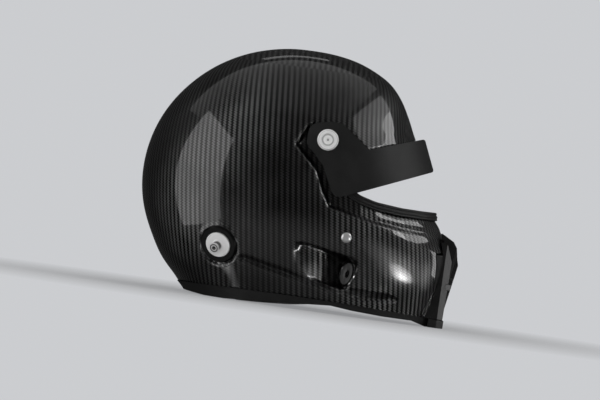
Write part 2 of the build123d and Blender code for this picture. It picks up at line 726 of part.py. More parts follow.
# Loop for the rings at the end of the short strap
ring_radius = ring_wire / 2
loop_hole = 2 * (ring_radius + fit_gap)
loop_end = strap_point(strap_short_shares[-1])
loop_place = (loop_end[0] + ring_spread / 2 + loop_hole / 2, loop_end[1])
loop = SlotCenterToCenter(ring_spread, loop_hole + 2 * strap_wall) - SlotCenterToCenter(ring_spread, loop_hole)
loop = strap_frame_left * Pos(*loop_place) * extrude(loop, amount=strap_width / 2, both=True)
loop_inside = strap_frame_left * Pos(*loop_place) * extrude(
    SlotCenterToCenter(ring_spread, loop_hole), amount=strap_width, both=True
)
short_strip = strap_strip(strap_short_shares, short_radii, strap_wall, strap_width)
strap_right = mirrored(short_strip + loop - loop_inside)


def ring_at(offset):
    """A D-shaped ring that hangs from its straight bar, in the frame of the straps."""
    half_bar = ring_width / 2
    leg = ring_height - half_bar
    bar_x, bar_y = loop_place[0] + offset, loop_place[1]
    bar = Pos(bar_x, bar_y, -half_bar) * Cylinder(
        ring_radius, ring_width, align=(Align.CENTER, Align.CENTER, Align.MIN)
    )
    ring = bar
    for end in (-half_bar, half_bar):
        corner = Pos(bar_x, bar_y, end)
        ring += corner * Sphere(ring_radius)
        ring += corner * Rot(90, 0, 0) * Cylinder(
            ring_radius, leg, align=(Align.CENTER, Align.CENTER, Align.MIN)
        )
    arc = Pos(bar_x, bar_y - leg, 0) * Rot(0, 90, 0) * Torus(half_bar, ring_radius)
    low = bar_y - leg - 2 * half_bar
    arc &= Pos(bar_x, low + half_bar, 0) * Box(4 * ring_wire, 2 * half_bar, 4 * half_bar)
    return strap_frame_left * (ring + arc)


d_ring_outer = mirrored(ring_at(-ring_spread / 2))
d_ring_inner = mirrored(ring_at(ring_spread / 2))

# Snap that holds the folded end of the long strap
fold_top, fold_low = strap_point(strap_long_shares[3]), strap_point(strap_long_shares[4])
tail_top, tail_low = strap_point(strap_long_shares[5]), strap_point(strap_long_shares[6])
snap_s = snap_share * half_width
main_rise = (fold_low[1] - fold_top[1]) / (fold_low[0] - fold_top[0])
tail_rise = (tail_low[1] - tail_top[1]) / (tail_low[0] - tail_top[0])
main_z = fold_top[1] + main_rise * (snap_s - fold_top[0])
tail_z = tail_top[1] + tail_rise * (snap_s - tail_top[0])
snap_middle = (main_z + tail_z) / 2
snap_reach = (main_z - tail_z) / 2 * cos(atan2(main_rise, 1)) + strap_wall / 2
snap_frame = strap_frame_left * Pos(snap_s, snap_middle, 0) * Rot(0, 0, degrees(atan2(main_rise, 1))) * Rot(-90, 0, 0)
snap_shaft = Cylinder(snap_radius / 3, 2 * snap_reach)
cap = Pos(0, 0, snap_reach + fit_gap / 3) * Cylinder(
    snap_radius, snap_height / 2, align=(Align.CENTER, Align.CENTER, Align.MIN)
)
cap += Pos(0, 0, snap_reach) * Cylinder(
    snap_radius / 3, snap_height / 2, align=(Align.CENTER, Align.CENTER, Align.MIN)
)
strap_snap = snap_frame * (snap_shaft + cap + mirror(cap, about=Plane.XY))
strap_left = strap_strip(strap_long_shares, long_radii, strap_wall, strap_width) - strap_snap

# Padded sleeves round the straps below the hangers
sleeve_top, sleeve_low = strap_point(strap_top_shares[1]), strap_point(strap_top_shares[2])
sleeve_length = sqrt((sleeve_low[0] - sleeve_top[0]) ** 2 + (sleeve_low[1] - sleeve_top[1]) ** 2) - 2 * bend
sleeve_turn = degrees(atan2(sleeve_low[1] - sleeve_top[1], sleeve_low[0] - sleeve_top[0]))
sleeve = Box(
    sleeve_length, strap_wall + 2 * pad_sleeve_wall, strap_width + 2 * pad_sleeve_overhang
)
sleeve = fillet(sleeve.edges().filter_by(Axis.X), pad_sleeve_wall * 0.8)
sleeve_place = Pos((sleeve_top[0] + sleeve_low[0]) / 2, (sleeve_top[1] + sleeve_low[1]) / 2, 0)
strap_pad_left = strap_frame_left * sleeve_place * Rot(0, 0, sleeve_turn) * sleeve - slot_tool

nodes = {
    "outer_shell": outer_shell,
    "eyeport_trim": eyeport_trim,
    "neck_trim": neck_trim,
    "vent_frame": vent_frame,
    "vent_grille": vent_grille,
    "vent_shutter": vent_shutter,
    "crown_liner": crown_liner,
    "chin_liner": chin_liner,
    "crown_pad": crown_pad,
    "brow_pad": brow_pad,
    "neck_roll": neck_roll,
    "peak": peak,
    "strap_left": strap_left,
    "strap_right": strap_right,
    "strap_snap": strap_snap,
    "d_ring_outer": d_ring_outer,
    "d_ring_inner": d_ring_inner,
}
pairs = {
    "cheek_pad": cheek_pad_left,
    "pivot_base": pivot_base_left,
    "pivot_washer": pivot_washer_left,
    "pivot_screw": pivot_screw_left,
    "pivot_nut": pivot_nut_left,
    "anchor_washer": anchor_washer_left,
    "anchor_post": anchor_post_left,
    "anchor_nut": anchor_nut_left,
    "port_bezel": port_bezel_left,
    "port_socket": port_socket_left,
    "strap_rivet": strap_rivet_left,
    "strap_hanger": hanger_left,
    "strap_pad": strap_pad_left,
}
for name, shape in pairs.items():
    nodes[name + "_left"] = shape
    nodes[name + "_right"] = mirrored(shape)

os.makedirs("parts", exist_ok=True)
for name, shape in nodes.items():
    export_step(shape, os.path.join("parts", name + ".step"))
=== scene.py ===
"""Looks of the racing helmet: woven carbon shell, sun peak, fittings, chin vent, lining and strap.

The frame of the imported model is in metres: +X forward, +Y the wearer's left, +Z up. Sizes of the
pieces are written in millimetres, and MM turns them into metres.
"""
from math import cos, pi, radians, sin, sqrt, tau

import bpy
import numpy as np
from mathutils import Matrix, Vector


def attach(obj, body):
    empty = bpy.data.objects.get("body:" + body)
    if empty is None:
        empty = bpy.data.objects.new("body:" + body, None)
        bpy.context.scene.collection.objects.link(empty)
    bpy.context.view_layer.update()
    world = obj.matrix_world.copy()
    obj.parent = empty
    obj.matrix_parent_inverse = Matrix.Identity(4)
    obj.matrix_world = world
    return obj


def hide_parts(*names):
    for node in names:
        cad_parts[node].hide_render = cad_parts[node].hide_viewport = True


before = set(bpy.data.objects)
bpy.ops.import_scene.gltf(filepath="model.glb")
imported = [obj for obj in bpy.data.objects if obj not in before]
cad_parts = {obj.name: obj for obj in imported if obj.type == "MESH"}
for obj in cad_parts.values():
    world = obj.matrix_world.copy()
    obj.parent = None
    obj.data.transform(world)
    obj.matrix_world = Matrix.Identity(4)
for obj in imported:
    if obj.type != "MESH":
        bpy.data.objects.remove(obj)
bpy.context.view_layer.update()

# Outer shell
# One skin of carbon cloth, laid up in a mould and clear coated. The recess round the eye opening, the
# cheek scoops and the seats of the tether anchors are moulded in, so their walls are soft bevels. It
# is then cut open at the eyes and along the lower edge.
MM = 0.001
half_length, height, half_width = 166.0, 261.0, 123.0
# share of the height, then the reach to the back, front and sides as shares of the half sizes
level_shares = np.array([
    (-0.030, 0.620, 0.885, 0.775), (0.040, 0.690, 0.905, 0.830), (0.115, 0.800, 0.930, 0.886),
    (0.200, 0.886, 0.948, 0.939), (0.285, 0.950, 0.940, 0.974), (0.360, 0.985, 0.900, 0.992),
    (0.455, 1.000, 0.832, 1.000), (0.555, 0.985, 0.775, 0.990), (0.660, 0.934, 0.700, 0.938),
    (0.735, 0.871, 0.636, 0.879), (0.805, 0.787, 0.583, 0.800), (0.866, 0.688, 0.515, 0.700),
    (0.920, 0.566, 0.418, 0.573), (0.958, 0.442, 0.307, 0.439), (0.985, 0.302, 0.180, 0.284),
    (0.9985, 0.160, 0.030, 0.103), (1.0, 0.063, -0.063, 0.0),
])
waist_share, widest_share, crown_share = 0.455, -0.12, -0.063
chin_squareness, dome_squareness = 2.35, 2.1

# Outlines in side view, as (forward, up) shares of the half length and the height
recess_shares = [
    (-0.086, 0.628), (0.065, 0.539), (0.109, 0.484), (0.169, 0.410), (0.439, 0.372), (0.646, 0.359),
    (1.145, 0.345), (1.145, 0.812), (0.675, 0.707), (0.367, 0.638), (0.337, 0.638), (0.163, 0.718),
    (0.120, 0.722), (0.000, 0.713), (-0.034, 0.700),
]
eyeport_shares = [
    (0.274, 0.495), (0.330, 0.469), (0.439, 0.451), (0.596, 0.442), (0.720, 0.441), (1.145, 0.446),
    (1.145, 0.784), (0.675, 0.678), (0.367, 0.609), (0.301, 0.609), (0.244, 0.579), (0.232, 0.536),
]
landing_half_width, landing_depth = 107.5, 5.0  # flat floors under the peak's arms, depth elsewhere
bevel_width = 2.3
arm_corner, arm_clearance, arm_reach = (21.0, 122.0), 1.4, 15.0  # swept by the arm of the tilted peak
rim_fall, rim_run = 3.0, (2.0, 18.0)  # the floor falls towards the opening's lower edge
rim_start, rim_top = (62, 84), 125
pivot = Vector((16.0, 107.5, 172.26))
pivot_flat = (13.2, 15.2)  # radii inside which the floor is flat, and where that has faded out
anchor = Vector((-77.36, 102.58, 53.55))
anchor_axis = Vector((-0.3388, 0.8569, -0.3886)).normalized()
seat_radii, seat_reach = (19.4, 23.0), 20.0

# Folds of the chin: lines in side view in millimetres, and how deep each fold is
chin_crest = [(60.0, 98.0), (74.0, 92.6), (105.5, 84.4), (129.7, 78.5), (140.9, 74.3), (170.0, 68.0)]
chin_top = [(60.0, 101.0), (87.3, 97.5), (109.8, 94.9), (131.1, 93.3), (170.0, 92.0)]
crest_depth, crest_run, crest_over = 3.6, (66, 112), 1.3
panel_front = [(10.4, 143.1), (22.1, 143.7), (45.6, 144.4), (61.9, 143.8), (73.2, 141.6)]  # (up, forward)
vent_step, vent_step_edge, vent_step_top = 4.0, (-0.4, 1.2), (73, 76)
lower_slot = [
    (54.0, 27.5), (60.0, 28.8), (78.6, 29.0), (97.3, 28.5), (107.7, 25.1), (106.5, 21.4), (91.7, 18.7),
    (68.4, 18.2), (47.9, 21.0),
]
slot_depth, slot_tilt, slot_foot, slot_edge = 3.3, 0.27, 18.0, (-0.6, 1.6)
cheek_crease = [
    (-47.1, 42.6), (-32.2, 39.1), (-18.4, 36.4), (-3.6, 33.4), (14.5, 29.9), (28.3, 26.7), (45.7, 21.0),
]
crease_depth, crease_reach, crease_start, crease_end = 1.9, 2.5, (-62, -50), (34, 44)
cheek_bulge, bulge_middle, bulge_reach, bulge_from = 2.6, (104.0, 36.0), (36.0, 20.0), 40

# Scoop of the cheek: a round tool sunk along its axis, under a lip with its own outline
scoop = Vector((54.5, 91.76, 41.89))
scoop_axis = Vector((-0.8662, 0.4751, 0.1550)).normalized()
scoop_radius = 16.5
scoop_outline = [
    (0.2, 43.3), (-1.5, 51.3), (-2.0, 58.4), (0.8, 67.1), (8.6, 70.8), (21.9, 71.1), (31.4, 69.4),
    (41.2, 65.7), (51.2, 61.0), (60.2, 56.1), (66.5, 47.7), (64.2, 35.0), (57.5, 24.8), (47.0, 19.1),
    (28.6, 24.7), (14.8, 27.8), (3.9, 31.9),
]
lip_edge, lip_depth, least_depth, scoop_front = (-0.6, 4.2), 2.0, 1.0, 30
run_in, run_start, run_end, run_length, run_curve = 30.0, 56.0, 70, 50.0, 1.8
run_tilt, run_level = 0.26, 50.0

# Cuts: the opening's rim under the rubber, and the lower edge as a shallow arch
rim_overlap = 2.6
edge_height, edge_drop, edge_reach, edge_spare = 12.53, 8.09, 206.0, 1.2

# Rows and columns of the skin; the rows are closest between these heights, at the scoop and the chin
low_rows, side_rows, row_count, column_count = 52, 62, 218, 452
fine_heights = (58.0, 120.0)
shell_inside = (0, 0, 100)

# The cloth is a 2/2 twill. The photographed helmet leans forward by the camera's roll, and the cloth
# is laid so that its ribs stand upright there. Over the crown it is laid flat.
tow_width = 1.96 * MM
camera_roll = radians(8.2425)
crown_lay_share = 0.925


def add(tree, kind, inputs=(), **settings):
    """A node of a kind with its settings, its inputs set from values or linked from sockets."""
    node = tree.nodes.new(kind)
    for key, value in settings.items():
        setattr(node, key, value)
    for place, value in dict(inputs).items():
        socket = node.inputs[place]
        if isinstance(value, bpy.types.NodeSocket):
            tree.links.new(value, socket)
        else:
            socket.default_value = value
    return node


def math(tree, operation, *values):
    """One step of arithmetic on sockets or numbers."""
    return add(tree, "ShaderNodeMath", dict(enumerate(values)), operation=operation).outputs[0]


def multiply(tree, first, second):
    """The product of two colours."""
    colours = {"Factor": 1.0, 6: first, 7: second}
    return add(tree, "ShaderNodeMix", colours, data_type="RGBA", blend_type="MULTIPLY").outputs[2]


def ramp(tree, factor, *stops):
    """A colour that runs straight from stop to stop; each stop is (place, grey or colour)."""
    node = add(tree, "ShaderNodeValToRGB", {"Fac": factor})
    elements = node.color_ramp.elements
    while len(elements) < len(stops):
        elements.new(0.5)
    for element, (place, value) in zip(elements, stops):
        element.position = place
        colour = value if isinstance(value, tuple) else (value, value, value)
        element.color = (*colour, 1)
    return node.outputs[0]


def noise(tree, vector, scale, detail=3.0, roughness=0.55):
    """Cloudy noise with a number of spots to a metre."""
    inputs = {"Vector": vector, "Scale": scale, "Detail": detail, "Roughness": roughness}
    return add(tree, "ShaderNodeTexNoise", inputs).outputs[0]


def bump(tree, height, distance, strength=1.0, normal=None):
    """The normal of a surface raised by height times a distance in metres."""
    inputs = {"Height": height, "Distance": distance, "Strength": strength}
    if normal is not None:
        inputs["Normal"] = normal
    return add(tree, "ShaderNodeBump", inputs).outputs[0]


def new_material(name, **sockets):
    """A material with constants on its shader's sockets: (material, its tree, the place on the piece).

    A socket is given by its name with underscores for spaces.
    """
    material = bpy.data.materials.new(name)
    material.use_nodes = True
    tree = material.node_tree
    for key, value in sockets.items():
        tree.nodes["Principled BSDF"].inputs[key.replace("_", " ")].default_value = value
    return material, tree, add(tree, "ShaderNodeTexCoord").outputs["Object"]


def join(tree, **sockets):
    """Links colours and values into the shader's sockets, named as in new_material."""
    shader = tree.nodes["Principled BSDF"]
    for key, value in sockets.items():
        tree.links.new(value, shader.inputs[key.replace("_", " ")])


def new_effect(name, inputs, outputs):
    """An empty node group with sockets of the kinds given by name: (group, its start, its end)."""
    group = bpy.data.node_groups.new(name, "ShaderNodeTree")
    for way, sockets in (("INPUT", inputs), ("OUTPUT", outputs)):
        for socket, kind in sockets.items():
            group.interface.new_socket(socket, in_out=way, socket_type="NodeSocket" + kind)
    return group, group.nodes.new("NodeGroupInput").outputs, group.nodes.new("NodeGroupOutput").inputs


def finish_effect(group, end, **values):
    """Links the values into the group's outputs."""
    for name, value in values.items():
        group.links.new(value, end[name])
    return group


def twill_effect():
    """How high the twill is at a flat place in metres, and whether warp or weft lies on top.

    Places are turned by 45 degrees and counted in tows. The warp is on top where the tow's number
    less the other's, modulo 4, is 0 or 1. A tow's crown is 1 - |2 (share of its width) - 1| ^ 2.2.
    """
    group, start, end = new_effect("twill", {"Flat": "Vector"}, {"Warp": "Float", "Height": "Float"})
    parts = add(group, "ShaderNodeSeparateXYZ", {0: start["Flat"]}).outputs
    scale = 1 / (sqrt(2) * tow_width)
    u, v = (math(group, "MULTIPLY", parts[k], scale) for k in (0, 1))
    along, across = math(group, "ADD", u, v), math(group, "SUBTRACT", v, u)
    step = math(group, "SUBTRACT", math(group, "FLOOR", along), math(group, "FLOOR", across))
    warp = math(group, "LESS_THAN", math(group, "FLOORED_MODULO", step, 4.0), 1.5)
    crowns = []
    for place in (across, along):
        offset = math(group, "SUBTRACT", math(group, "FRACT", place), 0.5)
        edge = math(group, "ABSOLUTE", math(group, "MULTIPLY", offset, 2.0))
        crowns.append(math(group, "SUBTRACT", 1.0, math(group, "POWER", edge, 2.2)))
    first = math(group, "MULTIPLY", crowns[0], warp)
    second = math(group, "MULTIPLY", crowns[1], math(group, "SUBTRACT", 1.0, warp))
    return finish_effect(group, end, Warp=warp, Height=math(group, "ADD", first, second))


def carbon_material():
    """Fibres under a clear coat: the tows along one way are smoother than those across.

    They are also painted paler, as a painted sheen of fibres that face the light, and every tow is
    painted darker towards its low edges, as painted shade between the tows.
    """
    material, tree, place = new_material(
        "carbon", Metallic=1.0, Coat_Weight=1.0, Coat_Roughness=0.03, Coat_IOR=1.5, Specular_IOR_Level=0.3
    )
    flat = add(tree, "ShaderNodeUVMap", uv_map="weave").outputs[0]
    weave = add(tree, "ShaderNodeGroup", {0: flat}, node_tree=twill_effect()).outputs
    # painted sheen: the warp tows are painted paler than the weft, as the sheen of fibres facing the light
    light = ramp(tree, weave["Warp"], (0.0, 0.020), (1.0, 0.132))
    cloud = ramp(tree, noise(tree, place, 22.0), (0.3, 0.65), (0.7, 1.3))
    # painted shade: each tow is painted darker towards its low edges, as shade between the tows
    shade = ramp(tree, weave["Height"], (0.0, 0.12), (0.55, 1.0))
    join(
        tree, Base_Color=multiply(tree, multiply(tree, light, cloud), shade),
        Roughness=ramp(tree, weave["Warp"], (0.0, 0.42), (1.0, 0.30)),
        Normal=bump(tree, weave["Height"], 0.0004, 0.8),
    )
    return material


def grid_faces(rows, columns, closed):
    """Quads of a grid of points, row by row; closed joins the last column to the first."""
    last = columns if closed else columns - 1
    row, column = np.meshgrid(np.arange(rows - 1), np.arange(last), indexing="ij")
    after = (column + 1) % columns
    first, second = row * columns, (row + 1) * columns
    corners = [first + column, first + after, second + after, second + column]
    return np.stack([corner.ravel() for corner in corners], axis=1)


def mesh_piece(name, points, faces, material, uv=None, smooth=True):
    """An object from an array of points in metres and an array of quads or a list of polygons."""
    mesh = bpy.data.meshes.new(name)
    faces = faces if isinstance(faces, list) else faces.tolist()
    mesh.from_pydata(np.asarray(points).reshape(-1, 3).tolist(), [], faces)
    if uv is not None:
        layer = mesh.uv_layers.new(name="weave")
        layer.data.foreach_set("uv", np.asarray(uv, dtype=np.float32).ravel())
    mesh.polygons.foreach_set("use_smooth", [smooth] * len(mesh.polygons))
    mesh.materials.append(material)
    mesh.update()
    piece = bpy.data.objects.new(name, mesh)
    bpy.context.scene.collection.objects.link(piece)
    return piece


def smoothstep(low, high, value):
    """0 below low, 1 above high, and 3 t^2 - 2 t^3 of the share t of the way between them."""
    share = np.clip((value - low) / (high - low), 0, 1)
    return share * share * (3 - 2 * share)


def bell(value, middle, reach):
    """The exponent of a bell curve: the square of the distance from its middle over its reach."""
    return ((value - middle) / reach) ** 2


def spline(knots, values, places):
    """Natural cubic spline through values at knots, read at places.

    Its second slopes solve the usual three-term equations and are 0 at both ends. Between two knots it
    is the cubic with those second slopes that goes through both values.
    """
    knots, values, places = (np.asarray(given, float) for given in (knots, values, places))
    step = np.diff(knots)
    count = len(knots)
    matrix = np.eye(count)
    right = np.zeros(count)
    inner = np.arange(1, count - 1)
    matrix[inner, inner - 1], matrix[inner, inner + 1] = step[:-1], step[1:]
    matrix[inner, inner] = 2 * (step[:-1] + step[1:])
    right[inner] = 6 * np.diff(np.diff(values) / step)
    bend = np.linalg.solve(matrix, right)
    k = np.clip(np.searchsorted(knots, places) - 1, 0, count - 2)
    before, after = knots[k + 1] - places, places - knots[k]
    slope_low = values[k] / step[k] - bend[k] * step[k] / 6
    slope_high = values[k + 1] / step[k] - bend[k + 1] * step[k] / 6
    cubic = (bend[k] * before**3 + bend[k + 1] * after**3) / (6 * step[k])
    return cubic + slope_low * before + slope_high * after


def side_outline(shares):
    """A side-view outline in millimetres from its shares of the half length and the height."""
    return np.array(shares) * (half_length, height)


def outline_distance(outline, x, z):
    """Distance from a closed side-view outline in millimetres, positive inside.

    It is the least distance from its straight runs. A place is inside where a line from it forwards
    crosses the outline an odd number of times.
    """
    outline = np.asarray(outline, float)
    best = np.full(x.shape, 1e9)
    inside = np.zeros(x.shape, bool)
    for (ax, az), (bx, bz) in zip(outline, np.roll(outline, -1, axis=0)):
        run = np.array([bx - ax, bz - az])
        share = np.clip(((x - ax) * run[0] + (z - az) * run[1]) / (run @ run), 0, 1)
        best = np.minimum(best, np.hypot(x - ax - share * run[0], z - az - share * run[1]))
        crosses = (az > z) != (bz > z)
        level = bz - az if abs(bz - az) > 1e-9 else 1e-9
        inside ^= crosses & (x < (bx - ax) * (z - az) / level + ax)
    return np.where(inside, best, -best)


level_knots = np.concatenate([[0.0], np.cumsum(np.hypot(
    np.diff(level_shares[:, 1]) * half_length, np.diff(level_shares[:, 0]) * height
))])


def shell_point(knot, turn, depth=0.0):
    """The smooth shell at a place up the levels and a turn from the front, moved in by a depth.

    A level is |x/a|^p + |y/b|^p = 1 about its middle, with its own reach a to the front and the back.
    Above the waist the depth shrinks the half sizes, below it the depth is taken off them.
    """
    share, back, front, width = (spline(level_knots, level_shares[:, k], knot) for k in range(4))
    level = share * height
    rise = np.clip((level - waist_share * height) / (height * (1 - waist_share)), 0, 1)
    above = rise > 0
    scale = np.where(above, 1 - depth / half_width, 1.0)
    less = np.where(above, 0.0, depth)
    back = np.where(above, back * (half_length - depth), back * half_length - depth)
    front = front * half_length * scale - less
    width = np.where(above, width * (half_width - depth), width * half_width - depth)
    lowered = waist_share * height + rise * (height * (1 - waist_share) - depth)
    level = np.where(above, lowered, level)
    middle = half_length * (widest_share + (crown_share - widest_share) * rise**2)
    front_power = chin_squareness + (dome_squareness - chin_squareness) * np.minimum(1, 2 * rise)
    ahead = np.cos(turn) > 0
    power = np.where(ahead, front_power, dome_squareness)
    reach = np.where(ahead, front - middle, back + middle)
    x = middle + reach * np.abs(np.cos(turn)) ** (2 / power) * np.where(ahead, 1, -1)
    y = np.maximum(width, 0) * np.abs(np.sin(turn)) ** (2 / power) * np.sign(np.sin(turn))
    return np.stack([x, y, level + 0 * x], axis=-1)


def outward(point):
    """Unit normals of a grid of points: the cross product of its two runs, turned off the inside."""
    normal = np.cross(np.gradient(point, axis=1), np.gradient(point, axis=0))
    normal /= np.maximum(np.linalg.norm(normal, axis=-1, keepdims=True), 1e-9)
    return normal * np.sign(np.sum(normal * (point - shell_inside), axis=-1, keepdims=True))


def chin_depth(x, y, z):
    """How deep the folds of chin and cheek are pressed in, less the cheek's bulge.

    The bevel over the crest grows straight from the crest line to the top line. The step at the vent
    and the slot are soft steps over their outlines, the crease is a bell curve across its line, and
    the bulge is a bell curve along x over 1 + the square along z.
    """
    crest = np.interp(x, *zip(*chin_crest))
    top = np.interp(x, *zip(*chin_top))
    depth = crest_depth * (np.clip((z - crest) / (top - crest), 0, crest_over) * smoothstep(*crest_run, x))
    edge = np.interp(z, *zip(*panel_front))
    depth += vent_step * smoothstep(*vent_step_edge, x - edge) * (1 - smoothstep(*vent_step_top, z))
    slot = outline_distance(lower_slot, x, z)
    depth += (slot_depth - slot_tilt * (z - slot_foot)) * smoothstep(*slot_edge, slot)
    line = np.interp(x, *zip(*cheek_crease))
    ends = smoothstep(*crease_start, x) * (1 - smoothstep(*crease_end, x))
    depth += crease_depth * np.exp(-bell(z, line, crease_reach)) * ends
    along = np.exp(-bell(x, bulge_middle[0], bulge_reach[0]))
    upward = 1 + bell(z, bulge_middle[1], bulge_reach[1])
    return depth - cheek_bulge * along / upward * (np.abs(y) > bulge_from)


def press_recess(point, normal, knot, turn, side, x, z):
    """Blends the skin into the recess's floor across the bevel, and flattens the peak's pivots.

    The floor is the shell moved in by the landing's depth, but no wider than the flat landings.
    """
    inside = outline_distance(side_outline(recess_shares), x, z)
    floor = shell_point(knot, turn, landing_depth)
    floor[..., 1] = side * np.minimum(np.abs(floor[..., 1]), landing_half_width)
    corner = bell(x, arm_corner[0], arm_reach) + bell(z, arm_corner[1], arm_reach)
    share = smoothstep(-bevel_width, bevel_width, inside + arm_clearance * np.exp(-corner))[..., None]
    eye = -outline_distance(side_outline(eyeport_shares), x, z)
    fall = rim_fall * (1 - smoothstep(*rim_run, eye)) * smoothstep(*rim_start, x) * (z < rim_top)
    floor = floor - normal * fall[..., None]
    pressed = point * (1 - share) + floor * share
    flat = 1 - smoothstep(*pivot_flat, np.hypot(x - pivot.x, z - pivot.z))
    flattened = pressed[..., 1] * (1 - flat) + side * landing_half_width * flat
    pressed[..., 1] = np.where(inside > -1, flattened, pressed[..., 1])
    return pressed


def press_seat(here):
    """Moves the left half onto the tether anchor's plane, along its axis, inside the seat's radius."""
    axis = np.array(anchor_axis)
    away = here - np.array(anchor)
    rise = away @ axis
    radius = np.linalg.norm(away - rise[..., None] * axis, axis=-1)
    share = (1 - smoothstep(*seat_radii, radius)) * (np.abs(rise) < seat_reach)
    return here - (share * rise)[..., None] * axis


def press_scoop(here):
    """Sinks the scoop into the left half.

    A line along the width meets the round tool where (distance from its axis)^2 = radius^2, whose
    lower root is the tool's floor, and it meets the port's plane. The skin goes down to the higher of
    the two, but no further than the run-in, which falls from the lip by a power of the way along.
    """
    axis = np.array(scoop_axis)
    away = here - np.array(scoop)
    across = axis[1]
    base_x, base_z = away[..., 0], away[..., 2]
    slope = base_x * axis[0] + base_z * axis[2]
    a = 1 - across**2
    b = -across * slope
    c = base_x**2 + base_z**2 - slope**2 - scoop_radius**2
    root = b**2 - a * c
    tool = (-b - np.sqrt(np.maximum(root, 0))) / a + scoop.y
    port = scoop.y - slope / across
    target = np.maximum(tool, port)
    cut = (root > 0) & (target < here[..., 1]) & (base_x < scoop_front)
    depth = np.where(cut, here[..., 1] - target, 0)
    way = np.clip(base_x + run_start, 0, run_end) / run_length
    limit = lip_depth + run_in * way**run_curve + run_tilt * (here[..., 2] - run_level)
    within = outline_distance(scoop_outline, here[..., 0], here[..., 2])
    here[..., 1] -= np.minimum(depth, np.maximum(limit, least_depth)) * smoothstep(*lip_edge, within)
    return here


def press_in(point, knot, turn):
    """The smooth shell with all that is moulded into it.

    Seat and scoop are pressed into the left half's form: y is mirrored by its side before and after.
    """
    x, y, z = point[..., 0], point[..., 1], point[..., 2]
    side = np.where(y < 0, -1.0, 1.0)
    mirror = np.stack([np.ones_like(side), side, np.ones_like(side)], axis=-1)
    normal = outward(point)
    folded = point - normal * chin_depth(x, y, z)[..., None]
    pressed = press_recess(folded, normal, knot, turn, side, x, z)
    return press_scoop(press_seat(pressed * mirror)) * mirror


def shell_rows():
    """Places up the levels, evenly spaced in each of three bands between the fine heights."""
    top = level_knots[-1]
    levels, heights = np.linspace(0, top, 400), np.linspace(-8, height, 400)
    low, high = np.interp(fine_heights, heights, np.interp(heights, shell_point(levels, 0.0)[:, 2], levels))
    return np.concatenate([
        np.linspace(0, low, low_rows, endpoint=False), np.linspace(low, high, side_rows, endpoint=False),
        np.linspace(high, top, row_count - low_rows - side_rows),
    ])


def weave_places(smooth, faces):
    """Where each corner of each quad lies on the flat cloth, in millimetres.

    Across is the run round the shell from the middle of each side, up is the run up the left side,
    both turned by the camera's roll. Over the crown the cloth's places are the plan's own.
    """
    around = np.linalg.norm(np.diff(smooth, axis=1, prepend=smooth[:, -1:]), axis=-1).cumsum(axis=1)
    up = np.linalg.norm(np.diff(smooth, axis=0, prepend=smooth[:1]), axis=-1).cumsum(axis=0)
    left, right, half = column_count // 4, 3 * column_count // 4, column_count // 2
    on_left = np.arange(column_count) < half
    along = np.where(on_left, around - around[:, left:left + 1], around[:, right:right + 1] - around)
    flat = np.stack([along, np.repeat(up[:, left, None], column_count, axis=1)], axis=-1).reshape(-1, 2)
    lean = np.array([[cos(camera_roll), sin(camera_roll)], [-sin(camera_roll), cos(camera_roll)]])
    row, column = faces[:, 0] // column_count, faces[:, 0] % column_count
    on_top = smooth[row, column, 2] > crown_lay_share * height
    plan = smooth.reshape(-1, 3)[:, :2]
    places = np.where(on_top[:, None, None], plan[faces], (flat @ lean)[faces])
    # the last quad of each half joins the halves: it takes its own side's run
    seam = np.isin(column, (half - 1, column_count - 1)) & ~on_top
    places[seam, 1, 0], places[seam, 2, 0] = places[seam, 0, 0], places[seam, 3, 0]
    return places


def build_shell():
    """The skin as a grid of levels and turns, without the quads in the eye opening and below the edge."""
    turn = np.linspace(0, tau, column_count, endpoint=False)
    knot, turn = np.meshgrid(shell_rows(), turn, indexing="ij")
    smooth = shell_point(knot, turn)
    point = press_in(smooth, knot, turn).reshape(-1, 3)
    faces = grid_faces(row_count, column_count, True)
    middle = point[faces].mean(axis=1)
    eye = outline_distance(side_outline(eyeport_shares), middle[:, 0], middle[:, 2])
    edge = edge_height - edge_drop * (middle[:, 0] / edge_reach) ** 2
    keep = (eye < -rim_overlap) & (middle[:, 2] > edge - edge_spare)
    places = weave_places(smooth, faces)[keep]
    used, faces = np.unique(faces[keep], return_inverse=True)
    return mesh_piece(
        "carbon_skin", point[used] * MM, faces.reshape(-1, 4), carbon_material(), places.reshape(-1, 2) * MM
    )


skin = build_shell()
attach(skin, "helmet")
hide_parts("outer_shell")

# Rubber round the eye opening
# An extruded rubber profile with two ridges, pushed over the cut edge of the shell and glued. Its lip
# lies on the recess's floor, and the same black rubber goes round the lower edge.
render_levels = 1
rubber_section = [  # (away from the opening, off the floor)
    (2.0, -4.4), (0.6, -4.2), (0.0, -3.0), (0.0, 0.4), (0.5, 1.5), (1.6, 2.0), (2.7, 1.6), (3.1, 0.9),
    (3.6, 0.9), (4.1, 1.5), (5.2, 1.7), (6.2, 1.2), (6.5, 0.5), (7.0, 0.5), (7.5, 0.9), (8.3, 0.7),
    (8.7, -0.2), (8.4, -2.6), (6.0, -4.2),
]
path_spacing = 1.6
turned_from = 88.0  # forward of this the path is stepped by turn
turn_steps = 46
opening_middle = (60.0, 0, 140.0)


def moulding_effect():
    """Two sizes of noise that a moulded surface has: mottled colour, and a fine grain."""
    group, start, end = new_effect("moulding", {"Place": "Vector"}, {"Mottle": "Float", "Grain": "Float"})
    mottle, grain = noise(group, start["Place"], 60.0), noise(group, start["Place"], 900.0, 2.0)
    return finish_effect(group, end, Mottle=mottle, Grain=grain)


moulding = moulding_effect()


def moulded_material(name, grey, rough, specular=0.4):
    """Rubber or plastic of a grey and a roughness, both uneven by the moulding's noise."""
    material, tree, place = new_material(name, Specular_IOR_Level=specular)
    marks = add(tree, "ShaderNodeGroup", {0: place}, node_tree=moulding).outputs
    join(
        tree, Base_Color=ramp(tree, marks["Mottle"], (0.3, grey * 0.8), (0.7, grey * 1.25)),
        Roughness=ramp(tree, marks["Grain"], (0.2, rough * 0.85), (0.8, rough * 1.15)),
        Normal=bump(tree, marks["Grain"], 0.00008, 0.5),
    )
    return material


